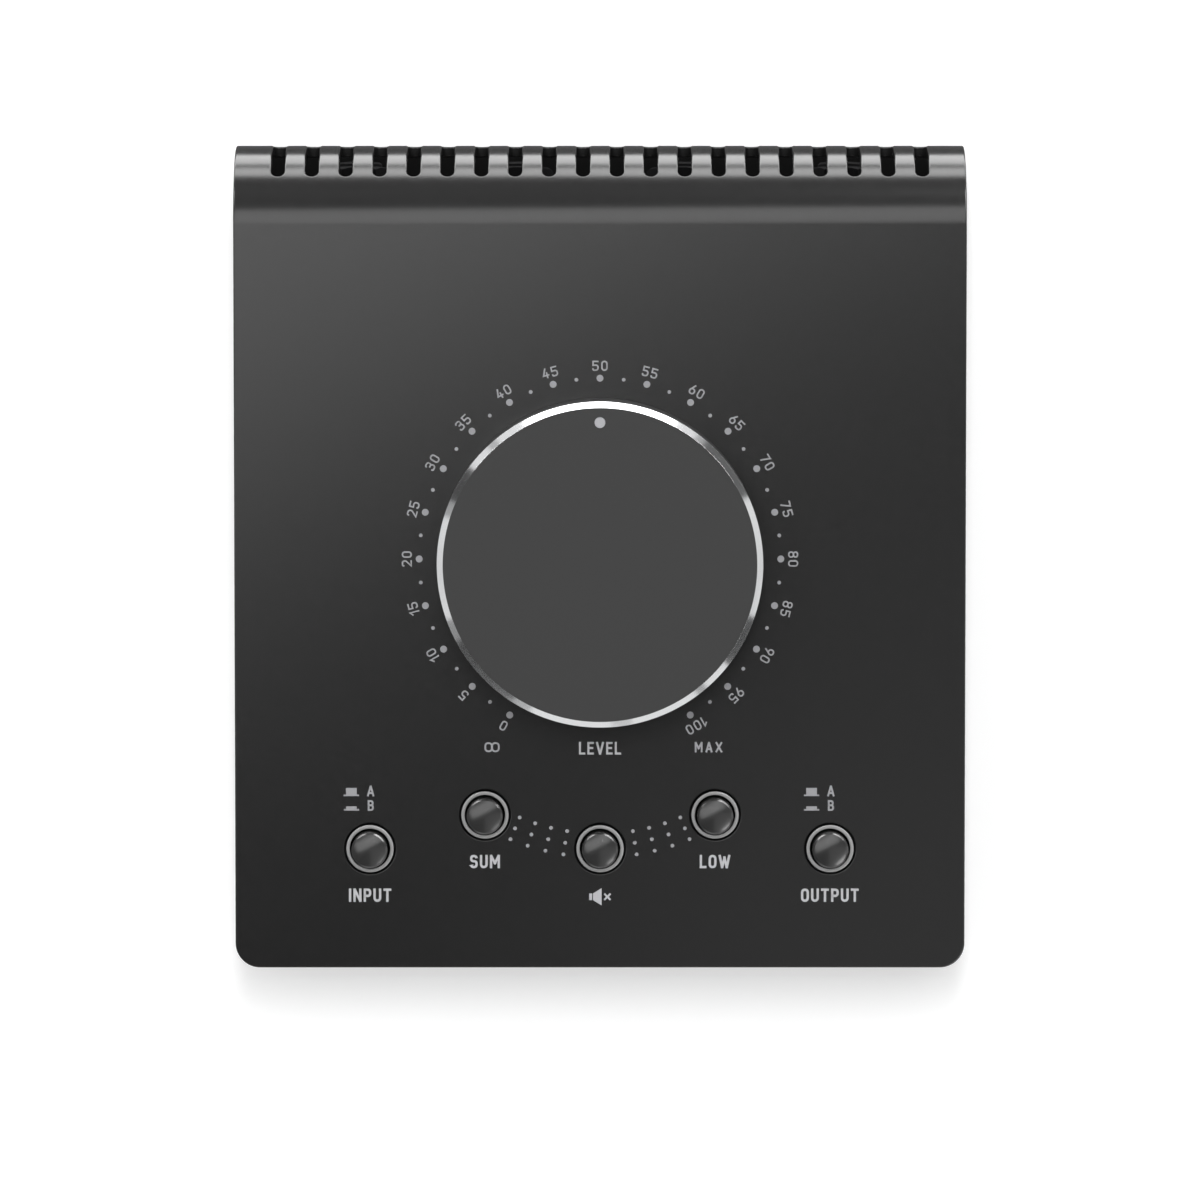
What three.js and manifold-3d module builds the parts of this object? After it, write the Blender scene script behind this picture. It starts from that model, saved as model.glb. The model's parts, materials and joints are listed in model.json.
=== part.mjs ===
// Studio monitor controller: a sloping desktop housing with one large dial and five push buttons.
// Millimetres. +Z is up, +X is to the right and +Y to the rear, as seen by the person who uses it.
// The origin lies on the table, under the middle of the housing.

import * as THREE from 'three';
import { mergeVertices } from 'three/addons/utils/BufferGeometryUtils.js';
import Module from 'manifold-3d';

const wasm = await Module();
wasm.setup();

// Gap that neighbouring pieces keep, and how far a cutter runs past what it cuts
const clearance = 0.3;
const cutOverrun = 2;

// Cover: one bent plate, with a sloping face and a rolled rear edge that ends in a short flange
const coverWidth = 136;
const faceLength = 138.5;
const faceTilt = THREE.MathUtils.degToRad(3.87);
const coverThickness = 2;
const rollRadius = 14.5;
const flangeDrop = 4.5;
const frontCornerRadius = 4.6;

// Vent slots through the roll
const slotCount = 20;
const slotWidth = 2.5;
const slotRowMargin = 8.15;
const slotStart = THREE.MathUtils.degToRad(39);
const slotDrop = 1;

// Base tray under the cover
const trayReveal = 0.5;
const trayWall = 1.5;
const trayFloor = 1.5;

// Rubber feet, pushed into the tray floor
const footHeight = 3;
const footRadius = 6.2;
const footTaper = 0.7;
const footStemRadius = 2;
const footBarbRadius = 2.8;
const footBarbHeight = 1.5;
const footSideInset = 12;
const footEndInset = 11;

// Pillars under the cover, and the case screws that go up into them
const pillarRadius = 3;
const pillarSideInset = 7.5;
const pillarFrontInset = 21;
const pillarRearInset = 27;
const screwRadius = 1.5;
const screwHeadRadius = 2.8;
const screwHeadHeight = 1.7;
const screwReach = 9;

// Rear panel, set in under the roll
const panelRecess = 6;
const panelThickness = 1.5;
const panelLap = 2.5;
const panelTabWidth = 12;
const panelTabLength = 8;
const panelTabReach = 3;

// Double sockets behind the rear panel, one above the other in each block
const jackColumns = 4;
const jackRows = 2;
const jackRowPitch = 15.2;
const jackBlockWidth = 13;
const jackBlockDepth = 25;
const jackBoreRadius = 3.25;
const jackBoreFloor = 4.5;
const jackBushingRadius = 4.5;
const jackBushingRise = 3.5;
const jackNutFlats = 11;
const jackNutHeight = 2.2;

// Dial knob
const knobFromFront = 76.5;
const knobRadius = 29.9;
const knobTop = 20.3;
const knobLift = 0.8;
const knobChamfer = 1.3;
const knobRimChamfer = 0.5;
const knobWall = 3;
const knobTopWall = 3;
const hubRadius = 9;
const hubLift = 0.6;
const hubStop = 1.1;
const pointerRadius = 1;
const pointerInset = 2.5;
const pointerDepth = 0.8;
const grubHeight = 10;
const grubLength = 6;

// Potentiometer under the face, on the knob's axis
const potRadius = 12;
const bushingRadius = 4.25;
const bushingRise = 5;
const shaftRadius = 3;
const shaftFlatDepth = 1.5;
const shaftFlatLength = 9;
const potFloor = 7;
const washerRadius = 7.5;
const washerThickness = 0.6;
const potNutFlats = 12;
const potNutHeight = 2.2;

// Push buttons: two at the outer ends and one in the middle of the front row, two in the row behind
const buttonSideInset = 25.14;
const frontRowFromEdge = 22.3;
const rearRowFromEdge = 28.6;
const capRadius = 3.35;
const capHeight = 4;
const capLength = 8.2;
const capCrown = 0.45;
const capShoulder = 0.4;
const capSocketRadius = 2.1;
const capSocketStop = 3;
const buttonGap = 0.4;
const bezelWidth = 0.66;
const bezelProud = 0.25;
const bezelGroove = 0.28;
const bezelFlange = 0.9;
const bezelFlangeThickness = 1;
const buttonTravel = 2.5;

// Push switches under the caps
const switchWidth = 8;
const switchRoom = 3.8;
const switchFloor = 1.2;
const sliderWidth = 2.4;
const sliderRoom = 0.5;

// Main board, hung parallel to the face on four standoffs
const boardDepth = 20;
const boardThickness = 1.6;
const boardSideGap = 3.5;
const boardFrontInset = 6.5;
const boardToJacks = 15.24;
const standoffRadius = 2.5;
const standoffInset = 4;
const standoffEndInset = 6;
const boardScrewReach = 8;

// Ribbon cable from the main board to the jack board
const ribbonWidth = 16;
const ribbonThickness = 0.9;
const ribbonOffset = 25;
const ribbonSteps = 14;
const plugWidth = 18;
const plugDepth = 6;
const plugHeight = 5;
const plugFromBoardEnd = 8;
const ribbonBow = 13;

// How many flats stand for a full turn, and half as many as stand for one rounded corner or bend
const knobSegments = 48;
const ringSegments = 24;
const smallSegments = 16;
const screwSegments = 12;
const rollSegments = 5;
const cornerSegments = 3;
const crownSteps = 2;

// Places worked out from the sizes above
const sin = Math.sin(faceTilt);
const cos = Math.cos(faceTilt);
const halfWidth = coverWidth / 2;
const floorBottom = footHeight;
const floorTop = floorBottom + trayFloor;
const blockBottom = floorTop + clearance;
const blockTop = blockBottom + jackBlockWidth + jackRowPitch;
const flangeBottom = blockTop;
const rollZ = flangeBottom + flangeDrop;
const depth = faceLength * cos + rollRadius * (1 + sin);
const frontY = -depth / 2;
const rearY = depth / 2;
const rollY = rearY - rollRadius;
const faceFrontZ = rollZ + rollRadius * cos - faceLength * sin;
const knobY = frontY + knobFromFront * cos;
const knobZ = faceFrontZ + knobFromFront * sin;
const pillarX = halfWidth - pillarSideInset;
const footX = halfWidth - footSideInset;
const panelOuterY = rearY - panelRecess;
const panelInnerY = panelOuterY - panelThickness;
const blockFrontY = panelInnerY - clearance;
const blockRearY = blockFrontY - jackBlockDepth;
const jackPitch = 2 * pillarX / jackColumns;
const underFace = -(coverThickness + clearance);
const boardTop = -boardDepth;
const boardBottom = boardTop - boardThickness;
const boardHalfWidth = pillarX - pillarRadius - boardSideGap;
const boardFrontV = boardFrontInset - knobFromFront;
const jackBoardRearY = blockRearY - clearance;
const jackBoardFrontY = jackBoardRearY - boardThickness;
const boardRearY = jackBoardFrontY - boardToJacks;
const boardRearReach = (boardRearY - knobY + boardBottom * sin) / cos;
const buttonOuterX = halfWidth - buttonSideInset;
const buttonInnerX = buttonOuterX / 2;
const frontRowV = frontRowFromEdge - knobFromFront;
const rearRowV = rearRowFromEdge - knobFromFront;
const bezelInner = capRadius + buttonGap;
const bezelOuter = bezelInner + bezelWidth;
const bezelHole = bezelOuter + bezelGroove;
const capBottom = capHeight - capLength;
const bushingHole = bushingRadius + clearance;
const shaftBore = shaftRadius + clearance;
const screwHole = screwRadius + clearance;

// Materials
function finish(color, roughness, metalness) {
  return new THREE.MeshStandardMaterial({ color, roughness, metalness });
}

const powderCoat = finish('#343434', 0.5, 0.1);
const anodised = finish('#444444', 0.4, 0.6);
const inlayWhite = finish('#b0b0b0', 0.5, 0);
const bezelMetal = finish('#9c9c9c', 0.35, 0.8);
const capGloss = finish('#303030', 0.15, 0);
const steel = finish('#a8a8a8', 0.35, 0.9);
const darkSteel = finish('#3c3c3e', 0.4, 0.8);
const brass = finish('#b59a5a', 0.35, 0.9);
const nickel = finish('#b8b8b4', 0.25, 0.95);
const moulding = finish('#1e1e1f', 0.6, 0);
const whiteNylon = finish('#d8d6cf', 0.6, 0);
const rubber = finish('#202020', 0.9, 0);
const circuitBoard = finish('#1f4a33', 0.5, 0);
const ribbonGrey = finish('#8e9094', 0.7, 0);

// Solids: a closed three.js geometry becomes a solid that can be joined and cut, and comes back
function solid(geometry, ...moves) {
  const loose = geometry.clone();
  loose.deleteAttribute('normal');
  loose.deleteAttribute('uv');
  moves.forEach((move) => loose.applyMatrix4(move));
  const merged = mergeVertices(loose);
  const corners = [];
  for (let i = 0; i < merged.index.count; i += 3) {
    const [a, b, c] = [merged.index.getX(i), merged.index.getX(i + 1), merged.index.getX(i + 2)];
    if (a !== b && b !== c && c !== a) corners.push(a, b, c);
  }
  return new wasm.Manifold(new wasm.Mesh({
    numProp: 3,
    vertProperties: new Float32Array(merged.attributes.position.array),
    triVerts: new Uint32Array(corners),
  }));
}

function geometry(body) {
  const mesh = body.getMesh();
  const result = new THREE.BufferGeometry();
  result.setAttribute('position', new THREE.BufferAttribute(mesh.vertProperties, 3));
  result.setIndex(new THREE.BufferAttribute(mesh.triVerts, 1));
  result.computeVertexNormals();
  return result;
}

// Moves
function shift(x, y, z) {
  return new THREE.Matrix4().makeTranslation(x, y, z);
}

// A flat outline drawn in Y and Z is carried along X, and one drawn in X and Z is carried along Y
const acrossX = new THREE.Matrix4().set(0, 0, 1, 0, 1, 0, 0, 0, 0, 1, 0, 0, 0, 0, 0, 1);
const acrossY = new THREE.Matrix4().makeRotationX(Math.PI / 2);

// The face's own frame: its origin is where the knob's axis meets the face, and its Z points out
const faceFrame = shift(0, knobY, knobZ).multiply(new THREE.Matrix4().makeRotationX(faceTilt));

// Forms, all with their axis along Z
function rod(radius, low, high, segments = smallSegments) {
  const form = new THREE.CylinderGeometry(radius, radius, high - low, segments);
  return form.rotateX(Math.PI / 2).translate(0, 0, (low + high) / 2);
}

function block(lengthX, lengthY, low, high) {
  return new THREE.BoxGeometry(lengthX, lengthY, high - low).translate(0, 0, (low + high) / 2);
}

function turned(profile, segments = smallSegments) {
  const points = profile.map(([radius, height]) => new THREE.Vector2(radius, height));
  return new THREE.LatheGeometry(points, segments).rotateX(Math.PI / 2);
}

function prism(outline, low, high, curveSegments = smallSegments / 2) {
  const form = new THREE.ExtrudeGeometry(outline, { depth: high - low, bevelEnabled: false, curveSegments });
  return form.translate(0, 0, low);
}

function circlePath(x, y, radius) {
  return new THREE.Path().absarc(x, y, radius, 0, 2 * Math.PI, true);
}

function hexagonNut(flats, holeRadius, low, high) {
  const radius = flats / Math.sqrt(3);
  const corners = [];
  for (let i = 0; i < 6; i += 1) {
    const angle = i * Math.PI / 3;
    corners.push(new THREE.Vector2(radius * Math.cos(angle), radius * Math.sin(angle)));
  }
  const outline = new THREE.Shape(corners);
  outline.holes.push(circlePath(0, 0, holeRadius));
  return prism(outline, low, high);
}

function ring(innerRadius, outerRadius, low, high, segments = smallSegments) {
  const profile = [[innerRadius, low], [outerRadius, low], [outerRadius, high], [innerRadius, high]];
  return turned([...profile, profile[0]], segments);
}

// Groups: the whole controller, and the pieces that lie in the face's frame
const controller = new THREE.Group();
const face = new THREE.Group();
face.position.set(0, knobY, knobZ);
face.rotation.x = faceTilt;
controller.add(face);

function place(parent, name, form, material, x = 0, y = 0, z = 0) {
  const mesh = new THREE.Mesh(form, material);
  mesh.name = name;
  mesh.position.set(x, y, z);
  parent.add(mesh);
  return mesh;
}

// Seen from above: straight sides, an open rear, and rounded front corners
function planOutline(inset) {
  const side = halfWidth - inset;
  const front = frontY + inset;
  const radius = frontCornerRadius - inset;
  const outline = new THREE.Shape();
  outline.moveTo(side, rearY + cutOverrun);
  outline.lineTo(-side, rearY + cutOverrun);
  outline.lineTo(-side, front + radius);
  outline.absarc(-side + radius, front + radius, radius, Math.PI, 1.5 * Math.PI);
  outline.lineTo(side - radius, front);
  outline.absarc(side - radius, front + radius, radius, 1.5 * Math.PI, 2 * Math.PI);
  outline.closePath();
  return outline;
}

// A point this far under the face's plane, above the front edge and a little before it
function beforeFront(under) {
  return [frontY - cutOverrun * cos + under * sin, faceFrontZ - cutOverrun * sin - under * cos];
}

// Seen from the side: the face, the roll and the flange
function coverProfile() {
  const inner = rollRadius - coverThickness;
  const outline = new THREE.Shape();
  outline.moveTo(...beforeFront(coverThickness));
  outline.lineTo(...beforeFront(0));
  outline.absarc(rollY, rollZ, rollRadius, Math.PI / 2 + faceTilt, 0, true);
  outline.lineTo(rearY, flangeBottom);
  outline.lineTo(rollY + inner, flangeBottom);
  outline.absarc(rollY, rollZ, inner, 0, Math.PI / 2 + faceTilt, false);
  outline.closePath();
  return outline;
}

// One vent slot: round where it starts on the roll, straight down past its side, round at its foot
function slotCutter() {
  const inner = rollRadius - coverThickness - cutOverrun;
  const outer = rollRadius + cutOverrun;
  const foot = rollZ - slotDrop;
  const outline = new THREE.Shape();
  outline.absarc(rollY, rollZ, outer, Math.PI / 2 - slotStart, 0, true);
  outline.lineTo(rollY + outer, foot);
  outline.lineTo(rollY + inner, foot);
  outline.absarc(rollY, rollZ, inner, 0, Math.PI / 2 - slotStart, false);
  outline.closePath();
  const straight = prism(outline, -slotWidth / 2, slotWidth / 2, cornerSegments);
  const end = rod(slotWidth / 2, inner, outer, screwSegments);
  const start = solid(end, new THREE.Matrix4().makeRotationX(-slotStart), shift(0, rollY, rollZ));
  const finishEnd = solid(end, new THREE.Matrix4().makeRotationX(-Math.PI / 2), shift(0, rollY, foot));
  return solid(straight, acrossX).add(start).add(finishEnd);
}

function signPairs(x, ys) {
  return ys.flatMap((y) => [[-x, y], [x, y]]);
}

const pillarPlaces = signPairs(pillarX, [frontY + pillarFrontInset, rearY - pillarRearInset]);
const footPlaces = signPairs(footX, [frontY + footEndInset, rearY - footEndInset]);
const standoffPlaces = signPairs(
  boardHalfWidth - standoffInset,
  [boardFrontV + standoffEndInset, boardRearReach - standoffEndInset],
);
const tabY = panelInnerY - panelTabLength / 2;
const tabPlaces = signPairs(jackPitch, [tabY]);
const buttonPlaces = [
  [-buttonOuterX, frontRowV],
  [-buttonInnerX, rearRowV],
  [0, frontRowV],
  [buttonInnerX, rearRowV],
  [buttonOuterX, frontRowV],
];

// Height of the middle of the cover's plate over a point of the floor plan
function plateMiddle(y) {
  return faceFrontZ + (y - frontY) * Math.tan(faceTilt) - coverThickness / 2 / cos;
}

function addCover() {
  const sky = rollZ + 2 * rollRadius;
  let cover = solid(prism(coverProfile(), -halfWidth, halfWidth, rollSegments), acrossX);
  cover = cover.intersect(solid(prism(planOutline(0), 0, sky, cornerSegments)));
  pillarPlaces.forEach(([x, y]) => {
    const foot = floorTop + clearance;
    cover = cover.add(solid(rod(pillarRadius, foot, plateMiddle(y)), shift(x, y, 0)));
    const bore = rod(screwHole, foot - cutOverrun, foot + screwReach);
    cover = cover.subtract(solid(bore, shift(x, y, 0)));
  });
  standoffPlaces.forEach(([x, y]) => {
    const foot = boardTop + clearance;
    cover = cover.add(solid(rod(standoffRadius, foot, -coverThickness / 2), shift(x, y, 0), faceFrame));
    const bore = rod(screwHole, foot - cutOverrun, boardBottom + boardScrewReach + clearance);
    cover = cover.subtract(solid(bore, shift(x, y, 0), faceFrame));
  });
  const through = [-coverThickness - cutOverrun, cutOverrun];
  cover = cover.subtract(solid(rod(bushingHole, ...through, ringSegments), faceFrame));
  buttonPlaces.forEach(([x, y]) => {
    const hole = rod(bezelHole, ...through, ringSegments);
    cover = cover.subtract(solid(hole, shift(x, y, 0), faceFrame));
  });
  const slot = slotCutter();
  const pitch = (coverWidth - 2 * slotRowMargin) / (slotCount - 1);
  for (let i = 0; i < slotCount; i += 1) {
    cover = cover.subtract(slot.translate([(i - (slotCount - 1) / 2) * pitch, 0, 0]));
  }
  place(controller, 'top_cover', geometry(cover), powderCoat);
}

// Seen from the side: the tray follows the cover's underside, and below the flange it lies flush
function trayProfile() {
  const inner = rollRadius - coverThickness - clearance;
  const outline = new THREE.Shape();
  outline.moveTo(frontY - cutOverrun, floorBottom);
  outline.lineTo(rearY, floorBottom);
  outline.lineTo(rearY, flangeBottom - clearance);
  outline.lineTo(rollY + inner, flangeBottom - clearance);
  outline.absarc(rollY, rollZ, inner, 0, Math.PI / 2 + faceTilt, false);
  outline.lineTo(...beforeFront(coverThickness + clearance));
  outline.closePath();
  return outline;
}

function addTray() {
  const sky = rollZ + 2 * rollRadius;
  let tray = solid(prism(trayProfile(), -halfWidth, halfWidth, rollSegments), acrossX);
  tray = tray.intersect(solid(prism(planOutline(trayReveal), 0, sky, cornerSegments)));
  const inside = prism(planOutline(trayReveal + trayWall), floorTop, sky, cornerSegments);
  tray = tray.subtract(solid(inside));
  const holes = [
    ...footPlaces.map((spot) => [spot, footStemRadius + clearance]),
    ...pillarPlaces.map((spot) => [spot, screwHole]),
    ...tabPlaces.map((spot) => [spot, screwHole]),
  ];
  holes.forEach(([[x, y], radius]) => {
    const hole = rod(radius, floorBottom - cutOverrun, floorTop + cutOverrun);
    tray = tray.subtract(solid(hole, shift(x, y, 0)));
  });
  place(controller, 'base_tray', geometry(tray), powderCoat);
}

function addFeet() {
  const seat = floorBottom - clearance;
  const barb = floorTop + clearance;
  const form = turned([
    [0, 0],
    [footRadius - footTaper, 0],
    [footRadius, seat],
    [footStemRadius, seat],
    [footStemRadius, barb],
    [footBarbRadius, barb],
    [footStemRadius, barb + footBarbHeight],
    [0, barb + footBarbHeight],
  ]);
  footPlaces.forEach(([x, y], i) => place(controller, `rubber_foot_${i + 1}`, form, rubber, x, y));
}

// A screw that points up: the underside of its head lies at zero
function screwForm(length) {
  return turned([
    [0, -screwHeadHeight],
    [screwHeadRadius, -screwHeadHeight],
    [screwHeadRadius, 0],
    [screwRadius, 0],
    [screwRadius, length],
    [0, length],
  ], screwSegments);
}

function addCaseScrews() {
  const seat = floorBottom - clearance;
  const form = screwForm(floorTop + screwReach - seat);
  pillarPlaces.forEach(([x, y], i) => place(controller, `case_screw_${i + 1}`, form, steel, x, y, seat));
}

function addRearPanel() {
  const side = halfWidth - trayReveal - trayWall - clearance;
  const top = flangeBottom + panelLap;
  const outline = new THREE.Shape();
  outline.moveTo(-side, blockBottom);
  outline.lineTo(side, blockBottom);
  outline.lineTo(side, top);
  outline.lineTo(-side, top);
  outline.closePath();
  jackPlaces().forEach(([x, z]) => {
    outline.holes.push(circlePath(x, z, jackBushingRadius + clearance));
  });
  let panel = solid(prism(outline, -panelOuterY, -panelInnerY), acrossY);
  const tabTop = blockBottom + panelThickness;
  const tabLength = panelTabLength + panelThickness / 2;
  tabPlaces.forEach(([x, y]) => {
    const tab = block(panelTabWidth, tabLength, blockBottom, tabTop);
    panel = panel.add(solid(tab, shift(x, y + panelThickness / 4, 0)));
    const hole = rod(screwHole, blockBottom - cutOverrun, tabTop + cutOverrun);
    panel = panel.subtract(solid(hole, shift(x, y, 0)));
  });
  place(controller, 'rear_panel', geometry(panel), powderCoat);
  const seat = floorBottom - clearance;
  const form = screwForm(tabTop + panelTabReach - seat);
  tabPlaces.forEach(([x, y], i) => place(controller, `panel_screw_${i + 1}`, form, steel, x, y, seat));
}

function columnX(column) {
  return (column - (jackColumns - 1) / 2) * jackPitch;
}

function rowZ(row) {
  return blockBottom + jackBlockWidth / 2 + row * jackRowPitch;
}

function jackPlaces() {
  const places = [];
  for (let row = 0; row < jackRows; row += 1) {
    for (let column = 0; column < jackColumns; column += 1) {
      places.push([columnX(column), rowZ(row)]);
    }
  }
  return places;
}

// A rod that runs from front to rear
function rodAlongY(radius, low, high, x, z) {
  return solid(rod(radius, -high, -low), acrossY, shift(x, 0, z));
}

function addJacks() {
  const mouth = panelOuterY + jackBushingRise;
  const blockMiddle = (blockRearY + blockFrontY) / 2;
  for (let column = 0; column < jackColumns; column += 1) {
    const housing = block(jackBlockWidth, jackBlockDepth, blockBottom, blockTop);
    let jack = solid(housing, shift(0, blockMiddle, 0));
    for (let row = 0; row < jackRows; row += 1) {
      jack = jack.add(rodAlongY(jackBushingRadius, blockMiddle, mouth, 0, rowZ(row)));
      const bore = rodAlongY(jackBoreRadius, blockRearY + jackBoreFloor, mouth + cutOverrun, 0, rowZ(row));
      jack = jack.subtract(bore);
    }
    place(controller, `jack_block_${column + 1}`, geometry(jack), moulding, columnX(column));
  }
  const low = panelOuterY + clearance;
  const nut = hexagonNut(jackNutFlats, jackBushingRadius + clearance, -low - jackNutHeight, -low);
  nut.applyMatrix4(acrossY);
  jackPlaces().forEach(([x, z], i) => place(controller, `jack_nut_${i + 1}`, nut, moulding, x, 0, z));
}

function addJackBoard() {
  const form = block(2 * boardHalfWidth, boardThickness, blockBottom, blockTop);
  place(controller, 'jack_board', form, circuitBoard, 0, (jackBoardFrontY + jackBoardRearY) / 2);
}

// Knob: a turned shell whose hub takes the shaft, with its pointer dot and grub screw
function addKnob() {
  const hubBottom = bushingRise + hubLift;
  const ceiling = knobTop - knobTopWall;
  const boreEnd = ceiling - hubStop;
  const form = turned([
    [0, boreEnd],
    [shaftBore, boreEnd],
    [shaftBore, hubBottom],
    [hubRadius, hubBottom],
    [hubRadius, ceiling],
    [knobRadius - knobWall, ceiling],
    [knobRadius - knobWall, knobLift],
    [knobRadius - knobRimChamfer, knobLift],
    [knobRadius, knobLift + knobRimChamfer],
    [knobRadius, knobTop - knobChamfer],
    [knobRadius - knobChamfer, knobTop],
    [0, knobTop],
  ], knobSegments);
  const pointerY = knobRadius - knobChamfer - pointerInset;
  const pointerFloor = knobTop - pointerDepth;
  const recess = rod(pointerRadius + clearance, pointerFloor - clearance, knobTop + cutOverrun);
  const grubHole = rodAlongY(screwHole, 0, knobRadius + cutOverrun, 0, grubHeight);
  const knob = solid(form).subtract(solid(recess, shift(0, pointerY, 0))).subtract(grubHole);
  place(face, 'dial_knob', geometry(knob), anodised);
  place(face, 'knob_pointer', rod(pointerRadius, pointerFloor, knobTop), inlayWhite, 0, pointerY);
  const grubLow = shaftRadius - shaftFlatDepth + clearance;
  const grub = rod(screwRadius, -grubLow - grubLength, -grubLow).applyMatrix4(acrossY);
  place(face, 'knob_grub_screw', grub, darkSteel, 0, 0, grubHeight);
}

function addPotentiometer() {
  const low = boardTop + clearance;
  const shaftLow = low + potFloor;
  const shaftTop = knobTop - knobTopWall - hubStop - clearance;
  const body = turned([
    [0, low],
    [potRadius, low],
    [potRadius, underFace],
    [bushingRadius, underFace],
    [bushingRadius, bushingRise],
    [shaftBore, bushingRise],
    [shaftBore, shaftLow - clearance],
    [0, shaftLow - clearance],
  ], ringSegments);
  place(face, 'potentiometer_body', body, brass);
  const flatDepth = 2 * shaftRadius;
  const flat = block(flatDepth, flatDepth, shaftTop - shaftFlatLength, shaftTop + cutOverrun);
  const flatY = shaftRadius - shaftFlatDepth + flatDepth / 2;
  const shaft = solid(rod(shaftRadius, shaftLow, shaftTop)).subtract(solid(flat, shift(0, flatY, 0)));
  place(face, 'potentiometer_shaft', geometry(shaft), steel);
  const washer = ring(bushingHole, washerRadius, clearance, clearance + washerThickness);
  place(face, 'potentiometer_washer', washer, nickel);
  const nutLow = washerThickness + 2 * clearance;
  const nut = hexagonNut(potNutFlats, bushingHole, nutLow, nutLow + potNutHeight);
  place(face, 'potentiometer_nut', nut, nickel);
}

// Cap: a low crown, a rounded shoulder and a socket for the slider
function capForm() {
  const crownRadius = capRadius - capShoulder;
  const edge = capHeight - capCrown;
  const profile = [[0, capHeight - capSocketStop], [capSocketRadius, capHeight - capSocketStop]];
  profile.push([capSocketRadius, capBottom], [capRadius, capBottom], [capRadius, edge - capShoulder]);
  for (let i = 1; i <= crownSteps; i += 1) {
    const angle = i / crownSteps * Math.PI / 2;
    const reach = capShoulder * Math.cos(angle);
    profile.push([crownRadius + reach, edge - capShoulder + capShoulder * Math.sin(angle)]);
  }
  for (let i = 1; i < crownSteps; i += 1) {
    const radiusShare = 1 - i / crownSteps;
    profile.push([crownRadius * radiusShare, capHeight - capCrown * radiusShare ** 2]);
  }
  profile.push([0, capHeight]);
  return turned(profile, ringSegments);
}

function bezelForm() {
  const flangeLow = underFace - bezelFlangeThickness;
  const lip = bezelProud / 2;
  const profile = [
    [bezelInner, flangeLow],
    [bezelHole + bezelFlange, flangeLow],
    [bezelHole + bezelFlange, underFace],
    [bezelOuter, underFace],
    [bezelOuter, lip],
    [bezelOuter - lip, bezelProud],
    [bezelInner + lip, bezelProud],
    [bezelInner, lip],
  ];
  return turned([...profile, profile[0]], ringSegments);
}

function switchForm() {
  const low = boardTop + clearance;
  const top = capBottom - buttonTravel - switchRoom;
  const hole = sliderWidth + 2 * clearance;
  const well = block(hole, hole, low + switchFloor, top + cutOverrun);
  return geometry(solid(block(switchWidth, switchWidth, low, top)).subtract(solid(well)));
}

function sliderForm() {
  const low = boardTop + clearance + switchFloor + sliderRoom + buttonTravel;
  return block(sliderWidth, sliderWidth, low, capHeight - capSocketStop - clearance);
}

function addButtons() {
  const cap = capForm();
  const bezel = bezelForm();
  const housing = switchForm();
  const slider = sliderForm();
  buttonPlaces.forEach(([x, y], i) => {
    place(face, `button_cap_${i + 1}`, cap, capGloss, x, y);
    place(face, `button_bezel_${i + 1}`, bezel, bezelMetal, x, y);
    place(face, `switch_body_${i + 1}`, housing, moulding, x, y);
    place(face, `switch_slider_${i + 1}`, slider, whiteNylon, x, y);
  });
}

function addMainBoard() {
  const outline = new THREE.Shape();
  outline.moveTo(-boardHalfWidth, boardFrontV);
  outline.lineTo(boardHalfWidth, boardFrontV);
  outline.lineTo(boardHalfWidth, boardRearReach);
  outline.lineTo(-boardHalfWidth, boardRearReach);
  outline.closePath();
  standoffPlaces.forEach(([x, y]) => outline.holes.push(circlePath(x, y, screwHole)));
  place(face, 'main_board', prism(outline, boardBottom, boardTop), circuitBoard);
  const seat = boardBottom - clearance;
  const form = screwForm(boardScrewReach);
  standoffPlaces.forEach(([x, y], i) => place(face, `board_screw_${i + 1}`, form, steel, x, y, seat));
}

// Ribbon cable: it leaves a plug under the main board, sags, and comes level to the jack board's plug
function addRibbonCable() {
  const upperY = boardRearReach - plugFromBoardEnd;
  const upperTop = boardBottom - clearance;
  const upperPlug = block(plugWidth, plugDepth, upperTop - plugHeight, upperTop);
  const lowerFace = jackBoardFrontY - clearance;
  const lowerZ = (blockBottom + blockTop) / 2;
  const lowerPlug = block(plugWidth, plugHeight, lowerZ - plugDepth / 2, lowerZ + plugDepth / 2);
  const start = new THREE.Vector3(0, upperY, upperTop - plugHeight / 2).applyMatrix4(faceFrame);
  const finishPoint = new THREE.Vector3(0, lowerFace - plugHeight / 2, lowerZ);
  const down = new THREE.Vector3(0, sin, -cos).multiplyScalar(ribbonBow);
  const level = new THREE.Vector3(0, -ribbonBow, 0);
  const route = new THREE.CubicBezierCurve3(
    start,
    start.clone().add(down),
    finishPoint.clone().add(level),
    finishPoint,
  );
  const upper = [];
  const lower = [];
  for (let i = 0; i <= ribbonSteps; i += 1) {
    const point = route.getPoint(i / ribbonSteps);
    const along = route.getTangent(i / ribbonSteps).multiplyScalar(ribbonThickness / 2);
    upper.push(new THREE.Vector2(point.y - along.z, point.z + along.y));
    lower.unshift(new THREE.Vector2(point.y + along.z, point.z - along.y));
  }
  const band = prism(new THREE.Shape([...upper, ...lower]), -ribbonWidth / 2, ribbonWidth / 2);
  const cable = solid(band, acrossX)
    .add(solid(upperPlug, shift(0, upperY, 0), faceFrame))
    .add(solid(lowerPlug, shift(0, lowerFace - plugHeight / 2, 0)));
  place(controller, 'ribbon_cable', geometry(cable), ribbonGrey, -ribbonOffset);
}

addCover();
addTray();
addFeet();
addCaseScrews();
addRearPanel();
addJacks();
addJackBoard();
addMainBoard();
addRibbonCable();
addPotentiometer();
addButtons();
addKnob();

export default controller;
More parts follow.
